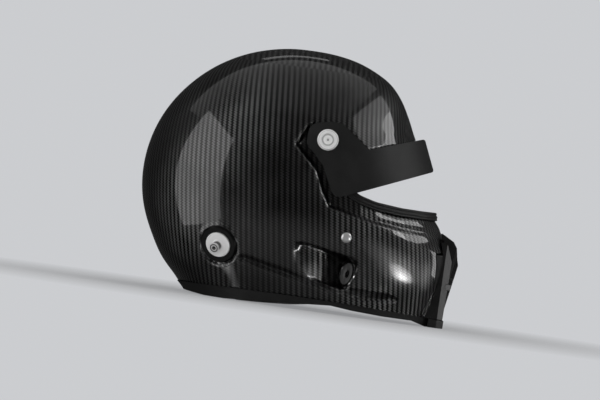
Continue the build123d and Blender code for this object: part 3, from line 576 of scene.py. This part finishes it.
def shell_place(x, z, depth):
    """Where on the shell, moved in by a depth, a point of the side view lies: (knot, turn).

    The knot is read off a table of heights. The turn is the arc cosine of
    (share of the reach) ^ (power / 2), which undoes shell_point.
    """
    table = np.linspace(0, level_knots[-1], 900)
    knot = np.interp(z, shell_point(table, 0.0, depth)[:, 2], table)
    front, back = shell_point(knot, 0.0, depth)[..., 0], shell_point(knot, pi, depth)[..., 0]
    rise = np.clip((np.asarray(z) - waist_share * height) / (height * (1 - waist_share) - depth), 0, 1)
    middle = half_length * (widest_share + (crown_share - widest_share) * rise**2)
    front_power = chin_squareness + (dome_squareness - chin_squareness) * np.minimum(1, 2 * rise)
    ahead = x > middle
    power = np.where(ahead, front_power, dome_squareness)
    share = np.clip((x - middle) / (np.where(ahead, front, back) - middle), 0, 1) ** (power / 2)
    return knot, np.arccos(np.where(ahead, share, -share))


def opening_path():
    """The eye opening's edge on the left half, from the chin's middle back and round to the brow's.

    Along the side it is the outline at even spacing, smoothed. Near the middle it is stepped by turn,
    and each height is found again from the outline until x and height agree.
    """
    outline = side_outline(eyeport_shares)
    low_line, high_line = outline[2:6], outline[[8, 7, 6]]
    low, high = (
        np.array([(turned_from, np.interp(turned_from, *line.T))]) for line in (low_line, high_line)
    )
    around = np.concatenate([low, outline[2::-1], outline[:7:-1], high])
    place = np.concatenate([[0], np.cumsum(np.linalg.norm(np.diff(around, axis=0), axis=1))])
    places = np.linspace(0, place[-1], int(place[-1] / path_spacing))
    side = np.stack([np.interp(places, place, around[:, k]) for k in (0, 1)], axis=1)
    for _ in range(6):
        side[1:-1] = (side[:-2] + 2 * side[1:-1] + side[2:]) / 4
    ends = []
    for (end_x, end_z), line in ((side[0], low_line), (side[-1], high_line)):
        turn_end = float(shell_place(end_x, end_z, landing_depth)[1])
        turns = np.linspace(0, turn_end, turn_steps, endpoint=False)
        z = np.full(turn_steps, end_z)
        for _ in range(12):
            knot = shell_place(np.full(turn_steps, end_x), z, landing_depth)[0]
            z = np.interp(shell_point(knot, turns, landing_depth)[:, 0], *line.T)
        ends.append((knot, turns))
    knot, turn = shell_place(side[:, 0], side[:, 1], landing_depth)
    knots = np.concatenate([ends[0][0], knot, ends[1][0][::-1]])
    turns = np.concatenate([ends[0][1], turn, ends[1][1][::-1]])
    return knots, turns


def floor_point(knot, turn):
    """The recess's floor: the shell moved in by the landing's depth, cut off at the flat landings."""
    point = shell_point(knot, turn, landing_depth)
    point[..., 1] = np.clip(point[..., 1], -landing_half_width, landing_half_width)
    return point


def edge_rubber():
    """The section carried round the opening: path + across * its first + out * its second measure.

    Out is the floor's normal, the cross product of two short steps on it, smoothed along the path.
    Across is square to the path and to out, away from the opening.
    """
    knot, turn = opening_path()
    left = floor_point(knot, turn)
    line = np.concatenate([left, (left * [1, -1, 1])[-2:0:-1]])
    knot_step, turn_step = 0.1, 1e-3
    lift = floor_point(knot + knot_step, turn) - floor_point(knot - knot_step, turn)
    run = floor_point(knot, turn + turn_step) - floor_point(knot, turn - turn_step)
    out = np.cross(run, lift)
    out /= np.linalg.norm(out, axis=1, keepdims=True)
    out *= np.sign(np.sum(out * (left - [0, 0, 130]), axis=1, keepdims=True))
    out = np.concatenate([out, (out * [1, -1, 1])[-2:0:-1]])
    for _ in range(3):
        out = (np.roll(out, 1, axis=0) + 2 * out + np.roll(out, -1, axis=0)) / 4
    along = np.roll(line, -1, axis=0) - np.roll(line, 1, axis=0)
    along /= np.linalg.norm(along, axis=1, keepdims=True)
    across = np.cross(along, out)
    across /= np.linalg.norm(across, axis=1, keepdims=True)
    across *= np.sign(np.sum(across * (line - opening_middle) * [1, 0, 1], axis=1))[:, None]
    section = np.array(rubber_section)
    points = line[:, None] + across[:, None] * section[None, :, :1] + out[:, None] * section[None, :, 1:]
    count = len(points) * len(section)
    faces = grid_faces(len(points) + 1, len(section), True) % count
    return mesh_piece("eye_opening_rubber", points * MM, faces, trim_rubber)


trim_rubber = moulded_material("trim_rubber", 0.012, 0.5)
piece = edge_rubber()
rounding = piece.modifiers.new("smooth", "SUBSURF")
rounding.levels = rounding.render_levels = render_levels
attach(piece, "helmet")
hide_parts("eyeport_trim")

# Rubber along the lower edge
# The same rubber as a broad U over the shell's edge, glued, with a foot under the chin that the
# helmet stands on. The solid has its form, so it only gets its finish.


def dress(node, material):
    """Gives a solid one finish all over."""
    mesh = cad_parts[node].data
    if not mesh.materials:
        mesh.materials.append(material)
    for index in range(len(mesh.materials)):
        mesh.materials[index] = material


dress("neck_trim", trim_rubber)

# Foam liners
# Two blocks of expanded foam beads, black, moulded to the inside of the shell and glued into it: one
# round the head and one in the chin.


def foam_material():
    """Beads as rounded cells: the distance from each cell's middle sets colour, roughness and height."""
    material, tree, place = new_material("foam_beads", Specular_IOR_Level=0.3)
    cells = add(tree, "ShaderNodeTexVoronoi", {"Vector": place, "Scale": 330.0}).outputs["Distance"]
    join(
        tree, Base_Color=ramp(tree, cells, (0.0, 0.05), (0.6, 0.022)),
        Roughness=ramp(tree, cells, (0.0, 0.75), (0.7, 0.95)),
        Normal=bump(tree, math(tree, "SUBTRACT", 1.0, cells), 0.0006, 0.6),
    )
    return material


bead_foam = foam_material()
dress("crown_liner", bead_foam)
dress("chin_liner", bead_foam)

# Chin vent
# A moulded nylon frame let into the chin, a grille behind it, and a shutter that slides across and
# has a pale tab. Beside the frame a groove follows the front edge of each side panel; a sheet in it
# is painted near black, as painted shade of the groove.
satin_black = moulded_material("satin_black", 0.010, 0.3)
matte_black = moulded_material("moulded_black", 0.014, 0.42)
dress("vent_frame", satin_black)
dress("vent_grille", matte_black)
dress("vent_shutter", moulded_material("tab_grey", 0.16, 0.45))

groove_top, groove_foot, groove_rows = 73.6, 9.6, 60
groove_steps = np.array([-0.8, 0.0, 0.5, 1.3, 3.6, 5.6, 6.4])  # forward of the panel's edge
groove_depths = np.array([-0.05, -0.25, 0.4, 2.6, 2.9, 2.2, 2.6])
near, far = 1.2, 4.2  # behind the panel's edge, where the skin is measured
groove_wall = 0.0006


def skin_reach(x, z):
    """How far out the skin's right side is at a place of the side view, where a line inwards meets it."""
    found, place, _, _ = skin.ray_cast(Vector((x * MM, -0.2, z * MM)), Vector((0, 1, 0)))
    return -place.y / MM if found else 0.0


def groove_points():
    """The groove's left half form: the skin's straight run forwards past the edge, less its depths."""
    heights = np.linspace(groove_foot, groove_top, groove_rows)
    edge = np.interp(heights, *zip(*panel_front))
    here, before = (
        np.array([skin_reach(x - back, z) for x, z in zip(edge, heights)])[:, None] for back in (near, far)
    )
    slope = (here - before) / (far - near)
    out = here + slope * (near + groove_steps) - groove_depths
    return np.stack([edge[:, None] + groove_steps, out, heights[:, None] + 0 * out], axis=-1)


groove_form = groove_points()
# painted shade: the groove's sheet is near black so that it reads as the shade in the groove
groove_shade_black = moulded_material("groove_shade_black", 0.005, 0.6)
for name, hand in (("right", -1), ("left", 1)):
    faces = grid_faces(groove_rows, len(groove_steps), False)
    piece = mesh_piece("chin_groove_" + name, groove_form * [1, hand, 1] * MM, faces, groove_shade_black)
    wall = piece.modifiers.new("wall", "SOLIDIFY")
    wall.thickness, wall.offset = groove_wall, 0.0
    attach(piece, "helmet")

# Sun peak and its pivots
# The peak is moulded in matt black plastic with an arm on each side. A silver screw with turned
# rings holds each arm, with a washer, on a round base plate, and goes into a nut inside the shell.
screw_reach = 0.0107
# The dark bands are painted shade in the screw's hole and turned grooves; the pale bands are its silver.
screw_greys_and_shade = (  # (share of the head's radius, grey)
    (0.0, 0.25), (0.07, 0.25), (0.12, 0.90), (0.40, 0.98), (0.46, 0.45), (0.53, 0.45), (0.59, 0.86),
    (0.84, 0.88), (0.88, 0.60), (0.92, 1.0), (1.0, 0.95),
)


def metal_effect():
    """Two sizes of noise that metal has: wear, and a fine brushing."""
    group, start, end = new_effect("metal wear", {"Place": "Vector"}, {"Wear": "Float", "Brush": "Float"})
    wear, brush = noise(group, start["Place"], 240.0, 4.0), noise(group, start["Place"], 1500.0, 2.0)
    return finish_effect(group, end, Wear=wear, Brush=brush)


metal_wear = metal_effect()


def metal_material(name, grey, rough, metallic=1.0):
    """Metal of a grey and a roughness, both uneven by its wear."""
    material, tree, place = new_material(name, Metallic=metallic)
    marks = add(tree, "ShaderNodeGroup", {0: place}, node_tree=metal_wear).outputs
    join(
        tree, Base_Color=ramp(tree, marks["Wear"], (0.25, grey * 0.85), (0.75, grey)),
        Roughness=ramp(tree, marks["Wear"], (0.2, rough * 0.8), (0.8, rough * 1.2)),
        Normal=bump(tree, marks["Brush"], 0.00004, 0.5),
    )
    return material


def turned_silver(name, centre, axis, reach, bands):
    """Turned metal whose grey and height follow the distance from its axis, in shares of its reach.

    The distance is that between the place and its projection on the axis. Fine turning marks are a
    sine of it, 0.6 mm long.
    """
    material, tree, place = new_material(name, Metallic=0.15)
    away = add(tree, "ShaderNodeVectorMath", {0: place, 1: centre}, operation="SUBTRACT").outputs[0]
    along = add(tree, "ShaderNodeVectorMath", {0: away, 1: axis}, operation="PROJECT").outputs[0]
    apart = add(tree, "ShaderNodeVectorMath", {0: away, 1: along}, operation="DISTANCE")
    radius = apart.outputs["Value"]
    # painted shade: the dark bands stand for shade in turned grooves and hollows; the pale bands are the
    # silver's grey
    colour = ramp(tree, math(tree, "DIVIDE", radius, reach), *bands)
    lines = math(tree, "SINE", math(tree, "MULTIPLY", radius, tau / 0.0006))
    turned = bump(tree, lines, 0.00003, 0.5, bump(tree, colour, 0.0003, 0.8))
    marks = add(tree, "ShaderNodeGroup", {0: place}, node_tree=metal_wear).outputs
    rough = ramp(tree, marks["Wear"], (0.2, 0.26), (0.8, 0.42))
    join(tree, Base_Color=colour, Roughness=rough, Normal=turned)
    return material


steel = metal_material("steel", 0.55, 0.3)
sides = {"_left": Vector((1, 1, 1)), "_right": Vector((1, -1, 1))}
dress("peak", moulded_material("peak_black", 0.012, 0.5))
for side, mirror in sides.items():
    dress("pivot_base" + side, satin_black)
    dress("pivot_washer" + side, matte_black)
    dress("pivot_nut" + side, steel)
    dress("pivot_screw" + side, turned_silver(
        "screw_silver" + side, pivot * mirror * MM, Vector((0, 1, 0)), screw_reach, screw_greys_and_shade
    ))

# Tether anchors
# On each side a headed silver post, turned in one piece with its flange, stands in a dished black
# washer on its seat in the shell. A nut inside holds it. The neck restraint's strap hooks onto it.
post_reach = 0.013
# The dark bands are painted shade in the post's middle and its groove; the pale bands are its silver.
post_greys_and_shade = (
    (0.0, 0.03), (0.13, 0.04), (0.17, 0.50), (0.22, 0.75), (0.25, 0.08), (0.31, 0.08), (0.34, 0.60),
    (0.37, 0.70), (0.40, 0.97), (0.97, 0.97), (1.0, 0.60),
)
washer_black = moulded_material("washer_black", 0.004, 0.3, 0.12)
for side, mirror in sides.items():
    dress("anchor_washer" + side, washer_black)
    dress("anchor_nut" + side, steel)
    dress("anchor_post" + side, turned_silver(
        "post_silver" + side, anchor * mirror * MM, anchor_axis * mirror, post_reach, post_greys_and_shade
    ))

# Sockets in the cheek scoops
# A dark chromed bezel is pressed into the end of each scoop, and a grey plastic socket with a blind
# hole is pressed into the bezel.
dark_chrome = metal_material("dark_chrome", 0.30, 0.18)
port_grey = moulded_material("port_grey", 0.10, 0.4)
for side in sides:
    dress("port_bezel" + side, dark_chrome)
    dress("port_socket" + side, port_grey)

# Lining and pads
# Soft foam under knitted black cloth, held in the liners by press studs: a crown pad, a brow pad, two
# cheek pads, and a roll round the neck. Their solids are closed blocks, rounded and swollen here.


def cloth_effect():
    """Cloth: height of its threads and fuzz, with a mottled colour.

    Threads are 0.3 sin x sin z + 0.3 sin y sin z, with places counted in turns to a metre.
    """
    group, start, end = new_effect(
        "cloth", {"Place": "Vector", "Turns": "Float"},
        {"Height": "Float", "Fuzz": "Float", "Mottle": "Float"},
    )
    place = start["Place"]
    parts = add(group, "ShaderNodeSeparateXYZ", {0: place}).outputs
    waves = [math(group, "SINE", math(group, "MULTIPLY", parts[k], start["Turns"])) for k in range(3)]
    first, second = (math(group, "MULTIPLY", waves[k], waves[2]) for k in (0, 1))
    threads = math(group, "ADD", first, second)
    fuzz = noise(group, place, 700.0)
    rise = math(group, "ADD", math(group, "MULTIPLY", threads, 0.3), fuzz)
    return finish_effect(group, end, Height=rise, Fuzz=fuzz, Mottle=noise(group, place, 90.0))


cloth = cloth_effect()


def cloth_material(name, grey, thread):
    """Cloth of a grey whose threads repeat after a length in metres."""
    material, tree, place = new_material(
        name, Sheen_Weight=0.5, Sheen_Roughness=0.5, Specular_IOR_Level=0.2
    )
    marks = add(tree, "ShaderNodeGroup", {0: place, 1: tau / thread}, node_tree=cloth).outputs
    join(
        tree, Base_Color=ramp(tree, marks["Mottle"], (0.3, grey * 0.75), (0.7, grey * 1.3)),
        Roughness=ramp(tree, marks["Fuzz"], (0.2, 0.8), (0.8, 0.98)),
        Normal=bump(tree, marks["Height"], 0.0003, 0.6),
    )
    return material


def evaluated(piece, name):
    """A new object from a piece with its modifiers applied; the piece itself is removed."""
    graph = bpy.context.evaluated_depsgraph_get()
    mesh = bpy.data.meshes.new_from_object(piece.evaluated_get(graph))
    mesh.name = name
    made = bpy.data.objects.new(name, mesh)
    bpy.context.scene.collection.objects.link(made)
    bpy.data.objects.remove(piece)
    return made


def soft_piece(node, name, material, voxel=2.6, rounds=14, swell=0.5, body="helmet"):
    """A padded piece in the space of a soft solid: remeshed in voxels, then relaxed and swollen.

    Each round moves a point half way to the mean of its neighbours. Swelling moves it out along its
    normal by a length in millimetres.
    """
    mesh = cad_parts[node].data.copy()
    start = bpy.data.objects.new(name + "_start", mesh)
    bpy.context.scene.collection.objects.link(start)
    weld = start.modifiers.new("weld", "WELD")
    weld.merge_threshold = 0.02 * MM
    remesh = start.modifiers.new("remesh", "REMESH")
    remesh.mode, remesh.voxel_size = "VOXEL", voxel * MM
    relax = start.modifiers.new("relax", "SMOOTH")
    relax.factor, relax.iterations = 0.5, rounds
    puff = start.modifiers.new("puff", "DISPLACE")
    puff.strength, puff.mid_level = swell * MM, 0.0
    piece = evaluated(start, name)
    piece.data.polygons.foreach_set("use_smooth", [True] * len(piece.data.polygons))
    piece.data.materials.clear()
    piece.data.materials.append(material)
    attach(piece, body)
    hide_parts(node)


pad_cloth = cloth_material("pad_cloth", 0.014, 0.0009)
roll_cloth = cloth_material("roll_cloth", 0.012, 0.0016)
soft_piece("crown_pad", "crown_padding", pad_cloth)
soft_piece("brow_pad", "brow_padding", pad_cloth)
soft_piece("neck_roll", "neck_padding", roll_cloth, rounds=10)
for side in sides:
    soft_piece("cheek_pad" + side, "cheek_padding" + side, pad_cloth)

# Chin strap
# Flat black webbing, riveted to the shell through a steel hanger on each side and padded by a sleeve.
# The short strap's loop holds two steel rings, and the long one folds back into a snap.
strap_width, strap_wall = 24.0, 1.8
strap_foot = {"left": (48.2064, 114.544, 0), "right": (48.2064, -114.544, 0)}
strap_inward = {"left": (-0.20435, -0.978898, 0), "right": (-0.20435, 0.978898, 0)}
strap_across = {"left": (-0.978898, 0.20435, 0), "right": (-0.978898, -0.20435, 0)}
# (inwards, up) shares of the half width and the height, and the radii of the bends between them
top_route = [(0.0560, 0.2640), (0.2927, 0.2500), (0.4228, 0.1686)]
routes = {
    "right": (top_route + [(0.5366, 0.1264)], [5.0, 5.0]),
    "left": (top_route + [(0.5850, 0.1150), (0.8780, 0.0843), (0.8700, 0.0613), (0.6180, 0.0900)],
             [5.0, 5.0, 5.0, 2.5, 2.5]),
}
loop_place, loop_straight, loop_inner = (70.5018, 32.9904), 5.0, 2.0
webbing = cloth_material("webbing", 0.012, 0.0014)


def rounded_route(points, radii):
    """Points 1 mm apart along a broken line whose corners are arcs of the radii.

    An arc touches both runs at radius / tan(half the corner's angle) from the corner. It is the run's
    touching point turned about the arc's centre.
    """
    points = np.array(points, float)
    line = [points[:1]]
    for before, corner, after, radius in zip(points, points[1:], points[2:], radii):
        back = (before - corner) / np.linalg.norm(before - corner)
        ahead = (after - corner) / np.linalg.norm(after - corner)
        half = np.arccos(np.clip(back @ ahead, -1, 1)) / 2
        reach = radius / np.tan(half)
        centre = corner + (back + ahead) / np.linalg.norm(back + ahead) * radius / np.sin(half)
        start, end = corner + back * reach - centre, corner + ahead * reach - centre
        sweep = np.arctan2(start[0] * end[1] - start[1] * end[0], start @ end)
        angle = sweep * np.linspace(0, 1, 9)[:, None]
        line.append(centre + start * np.cos(angle) + np.array([-start[1], start[0]]) * np.sin(angle))
    line = np.concatenate(line + [points[-1:]])
    place = np.concatenate([[0], np.cumsum(np.linalg.norm(np.diff(line, axis=0), axis=1))])
    places = np.linspace(0, place[-1], int(place[-1]) + 1)
    return np.stack([np.interp(places, place, line[:, k]) for k in (0, 1)], axis=1)


def strap_points(side, flat, wide):
    """Points of the (inwards, up) plane of a side's strap, moved across it by wide, in millimetres."""
    foot, inward, across = (np.array(table[side]) for table in (strap_foot, strap_inward, strap_across))
    return foot + flat[..., :1] * inward + flat[..., 1:] * np.array([0, 0, 1]) + wide * across


def webbing_piece(side):
    """The section |wide|^8 + |thick|^5.7 = 1, which has round selvedges, carried square to the route."""
    shares, radii = routes[side]
    route = rounded_route([(a * half_width, b * height) for a, b in shares], radii)
    along = np.gradient(route, axis=0)
    along /= np.linalg.norm(along, axis=1, keepdims=True)
    normal = np.stack([-along[:, 1], along[:, 0]], axis=1)
    turn = np.linspace(0, tau, 44, endpoint=False)
    wide = strap_width / 2 * np.sign(np.cos(turn)) * np.abs(np.cos(turn)) ** 0.25
    thick = strap_wall / 2 * np.sign(np.sin(turn)) * np.abs(np.sin(turn)) ** 0.35
    flat = route[:, None, :] + normal[:, None, :] * thick[None, :, None]
    points = strap_points(side, flat, wide[None, :, None])
    last = (len(route) - 1) * len(turn)
    ends = [list(range(len(turn)))[::-1], list(range(last, last + len(turn)))]
    faces = grid_faces(len(route), len(turn), True).tolist() + ends
    piece = mesh_piece("webbing_" + side, points * MM, faces, webbing)
    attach(piece, "helmet")
    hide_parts("strap_" + side)


def ring_loop():
    """The loop at the short strap's end: two long ovals, one wall apart, joined at both selvedges."""
    turn = np.linspace(0, tau, 56, endpoint=False)
    centre = np.where(np.cos(turn) > 0, loop_straight / 2, -loop_straight / 2)
    middle, level = loop_place[0] + centre, loop_place[1]
    inner, outer = (
        np.stack([middle + radius * np.cos(turn), level + radius * np.sin(turn)], axis=1)
        for radius in (loop_inner, loop_inner + strap_wall)
    )
    wide = strap_width / 2
    rings = [(outer, -wide), (outer, wide), (inner, wide), (inner, -wide), (outer, -wide)]
    points = np.array([strap_points("right", flat, offset) for flat, offset in rings])
    piece = mesh_piece("webbing_loop", points * MM, grid_faces(5, len(turn), True), webbing, smooth=False)
    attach(piece, "helmet")


rivet_metal = metal_material("rivet_metal", 0.85, 0.38, 0.75)
for side in sides:
    dress("strap_hanger" + side, steel)
    dress("strap_rivet" + side, rivet_metal)
    webbing_piece(side[1:])
    soft_piece(
        "strap_pad" + side, "strap_sleeve" + side, roll_cloth, voxel=1.2, rounds=6, swell=0.2
    )
ring_loop()
dress("d_ring_outer", steel)
dress("d_ring_inner", steel)
dress("strap_snap", matte_black)

# Stage
# A pale painted floor that fades into the backdrop, light cards round the helmet, and the camera of
# the photograph. The camera is rolled, since the photographed helmet leans forward.
backdrop_colour = (0.60, 0.61, 0.63, 1)
floor_radius, floor_rings, floor_sides, floor_drop = 1.3, 14, 96, 0.0004
camera_distance, picture_width = 6.0, 0.612
aim = Vector((-0.0031, 0.0, 0.1087))


def floor_material():
    """Pale paint with the helmet's shadow, which turns into the backdrop's own colour further out.

    The share of the backdrop is a ramp of the distance from the middle, for the camera's rays alone.
    Shiny surfaces don't mirror the floor, so that black carbon stays black.
    """
    material, tree, place = new_material("floor_paint", Roughness=0.7, Specular_IOR_Level=0.1)
    far_out = add(tree, "ShaderNodeVectorMath", {0: place}, operation="LENGTH").outputs["Value"]
    join(tree, Base_Color=ramp(tree, noise(tree, place, 300.0, 2.0), (0.0, 0.66), (1.0, 0.70)))
    fade = ramp(tree, math(tree, "DIVIDE", far_out, floor_radius), (0.13, 0.45), (0.45, 1.0))
    path = add(tree, "ShaderNodeLightPath").outputs
    backdrop = add(tree, "ShaderNodeEmission", {"Color": backdrop_colour, "Strength": 1.0}).outputs[0]
    clear = add(tree, "ShaderNodeBsdfTransparent").outputs[0]
    paint = tree.nodes["Principled BSDF"].outputs[0]
    seen = math(tree, "MULTIPLY", fade, path["Is Camera Ray"])
    mixed = add(tree, "ShaderNodeMixShader", {0: seen, 1: paint, 2: backdrop}).outputs[0]
    mixed = add(tree, "ShaderNodeMixShader", {0: path["Is Glossy Ray"], 1: mixed, 2: clear}).outputs[0]
    tree.links.new(mixed, tree.nodes["Material Output"].inputs["Surface"])
    return material


def studio_world():
    """The backdrop's colour for the camera; for all else a weak grey with a glow low on its side.

    The glow is a ramp of the look's height times how far the look goes to the camera's side.
    """
    world = bpy.data.worlds.new("studio")
    world.use_nodes = True
    tree = world.node_tree
    tree.nodes.clear()
    seen = add(tree, "ShaderNodeBackground", {"Color": backdrop_colour, "Strength": 1.0})
    direction = add(tree, "ShaderNodeTexCoord").outputs["Generated"]
    look = add(tree, "ShaderNodeSeparateXYZ", {0: direction}).outputs
    rise = math(tree, "MULTIPLY_ADD", look[2], 0.5, 0.5)
    low = ramp(tree, rise, (0.12, 0.0), (0.24, 0.26), (0.36, 0.26), (0.44, 0.0))
    beside = math(tree, "SMOOTH_MAX", math(tree, "MULTIPLY", look[1], -1.0), 0.0, 0.2)
    glow = math(tree, "MULTIPLY_ADD", low, beside, 0.028)
    around = add(tree, "ShaderNodeBackground", {"Color": glow, "Strength": 1.0})
    camera_ray = add(tree, "ShaderNodeLightPath").outputs["Is Camera Ray"]
    both = add(tree, "ShaderNodeMixShader", {0: camera_ray, 1: around.outputs[0], 2: seen.outputs[0]})
    add(tree, "ShaderNodeOutputWorld", {0: both.outputs[0]})
    return world


def area_light(name, place, target, sizes, radiance, fade=None, gloss=True, soft=False):
    """Hangs a light card that faces its target, with the radiance times pi times its area as power.

    fade is the light left at the card's lower edge, gloss says whether shiny surfaces mirror it, and a
    soft card is an ellipse that dims from its middle to its rim.
    """
    lamp = bpy.data.lights.new(name, "AREA")
    lamp.shape = "ELLIPSE" if soft else "RECTANGLE"
    lamp.size, lamp.size_y = sizes
    lamp.energy = radiance * pi * sizes[0] * sizes[1]
    if fade is not None or soft:
        lamp.use_nodes = True
        tree = lamp.node_tree
        spot = add(tree, "ShaderNodeNewGeometry").outputs["Parametric"]
        if soft:
            away = add(tree, "ShaderNodeVectorMath", {0: spot, 1: (0.5, 0.5, 0.0)}, operation="DISTANCE")
            strength = ramp(tree, away.outputs["Value"], (0.08, 1.0), (0.26, 0.4), (0.48, 0.0))
        else:
            upward = add(tree, "ShaderNodeSeparateXYZ", {0: spot}).outputs[1]
            strength = ramp(tree, upward, (0.0, fade), (1.0, 1.0))
        tree.links.new(strength, tree.nodes["Emission"].inputs["Strength"])
    holder = bpy.data.objects.new(name, lamp)
    bpy.context.scene.collection.objects.link(holder)
    holder.location = place
    holder.rotation_euler = (Vector(target) - Vector(place)).to_track_quat("-Z", "Y").to_euler()
    holder.visible_glossy = gloss


turns = np.linspace(0, tau, floor_sides, endpoint=False)
rings = [
    np.stack([radius * np.cos(turns), radius * np.sin(turns), 0 * turns - floor_drop], axis=1)
    for radius in np.linspace(0.0005, floor_radius, floor_rings)
]
faces = grid_faces(floor_rings, floor_sides, True)
floor = mesh_piece("floor", np.concatenate(rings), faces, floor_material())

bpy.context.scene.world = studio_world()
area_light("rear_card", (-2.0, -1.2, 0.42), (0, -1.2, 0.42), (2.1, 2.5), 1.4)
area_light("top_card", (-0.95, -0.2, 2.2), (-0.95, -0.19, 0), (4.7, 3.2), 0.36, 0.2)
area_light("front_card", (2.2, 0.0, 2.2), (0, 0.0, 0.9), (2.8, 0.95), 0.8)
area_light("brow_card", (2.2, 0.40, 1.45), (0, 0.40, 1.32), (1.6, 0.44), 2.6)
area_light("landing_card", (2.01, -0.71, 1.40), (0.1, -0.09, 0.09), (1.1, 0.30), 4.5)
area_light("nose_card", (2.1, 0.85, 0.25), (0.15, 0, 0.06), (0.5, 0.9), 2.3)
area_light("rear_top_card", (-0.25, 2.0, 2.2), (0, 0, 0.2), (0.9, 0.25), 0.6)
area_light("cheek_card", (1.93, -0.91, -0.42), (0.11, -0.09, 0.05), (1.3, 0.34), 16.0, soft=True)
area_light("cheek_glow", (2.04, -1.12, -0.40), (0.11, -0.09, 0.05), (3.0, 0.95), 1.9, soft=True)
area_light("chin_glow", (2.28, 0.22, -0.22), (0.1, -0.09, 0.05), (1.3, 0.85), 1.1, soft=True)
area_light("flange_card", (-1.32, -1.14, -1.25), (-0.08, -0.10, 0.05), (0.7, 0.7), 2.4, soft=True)
area_light("fill", (-0.2, -3.2, 0.9), (0, 0, 0.12), (2.4, 1.8), 3.2, None, False)

lens = bpy.data.cameras.new("camera")
lens.sensor_width = 36.0
lens.lens = lens.sensor_width * camera_distance / picture_width
lens.clip_start, lens.clip_end = 0.1, 100.0
camera = bpy.data.objects.new("camera", lens)
bpy.context.scene.collection.objects.link(camera)
right = Vector((cos(camera_roll), 0, sin(camera_roll)))
up = Vector((-sin(camera_roll), 0, cos(camera_roll)))
back = Vector((0, -1, 0))
turned = Matrix((right, up, back)).transposed().to_4x4()
camera.matrix_world = Matrix.Translation(aim + back * camera_distance) @ turned
bpy.context.scene.camera = camera
bpy.context.scene.view_settings.view_transform = "Standard"
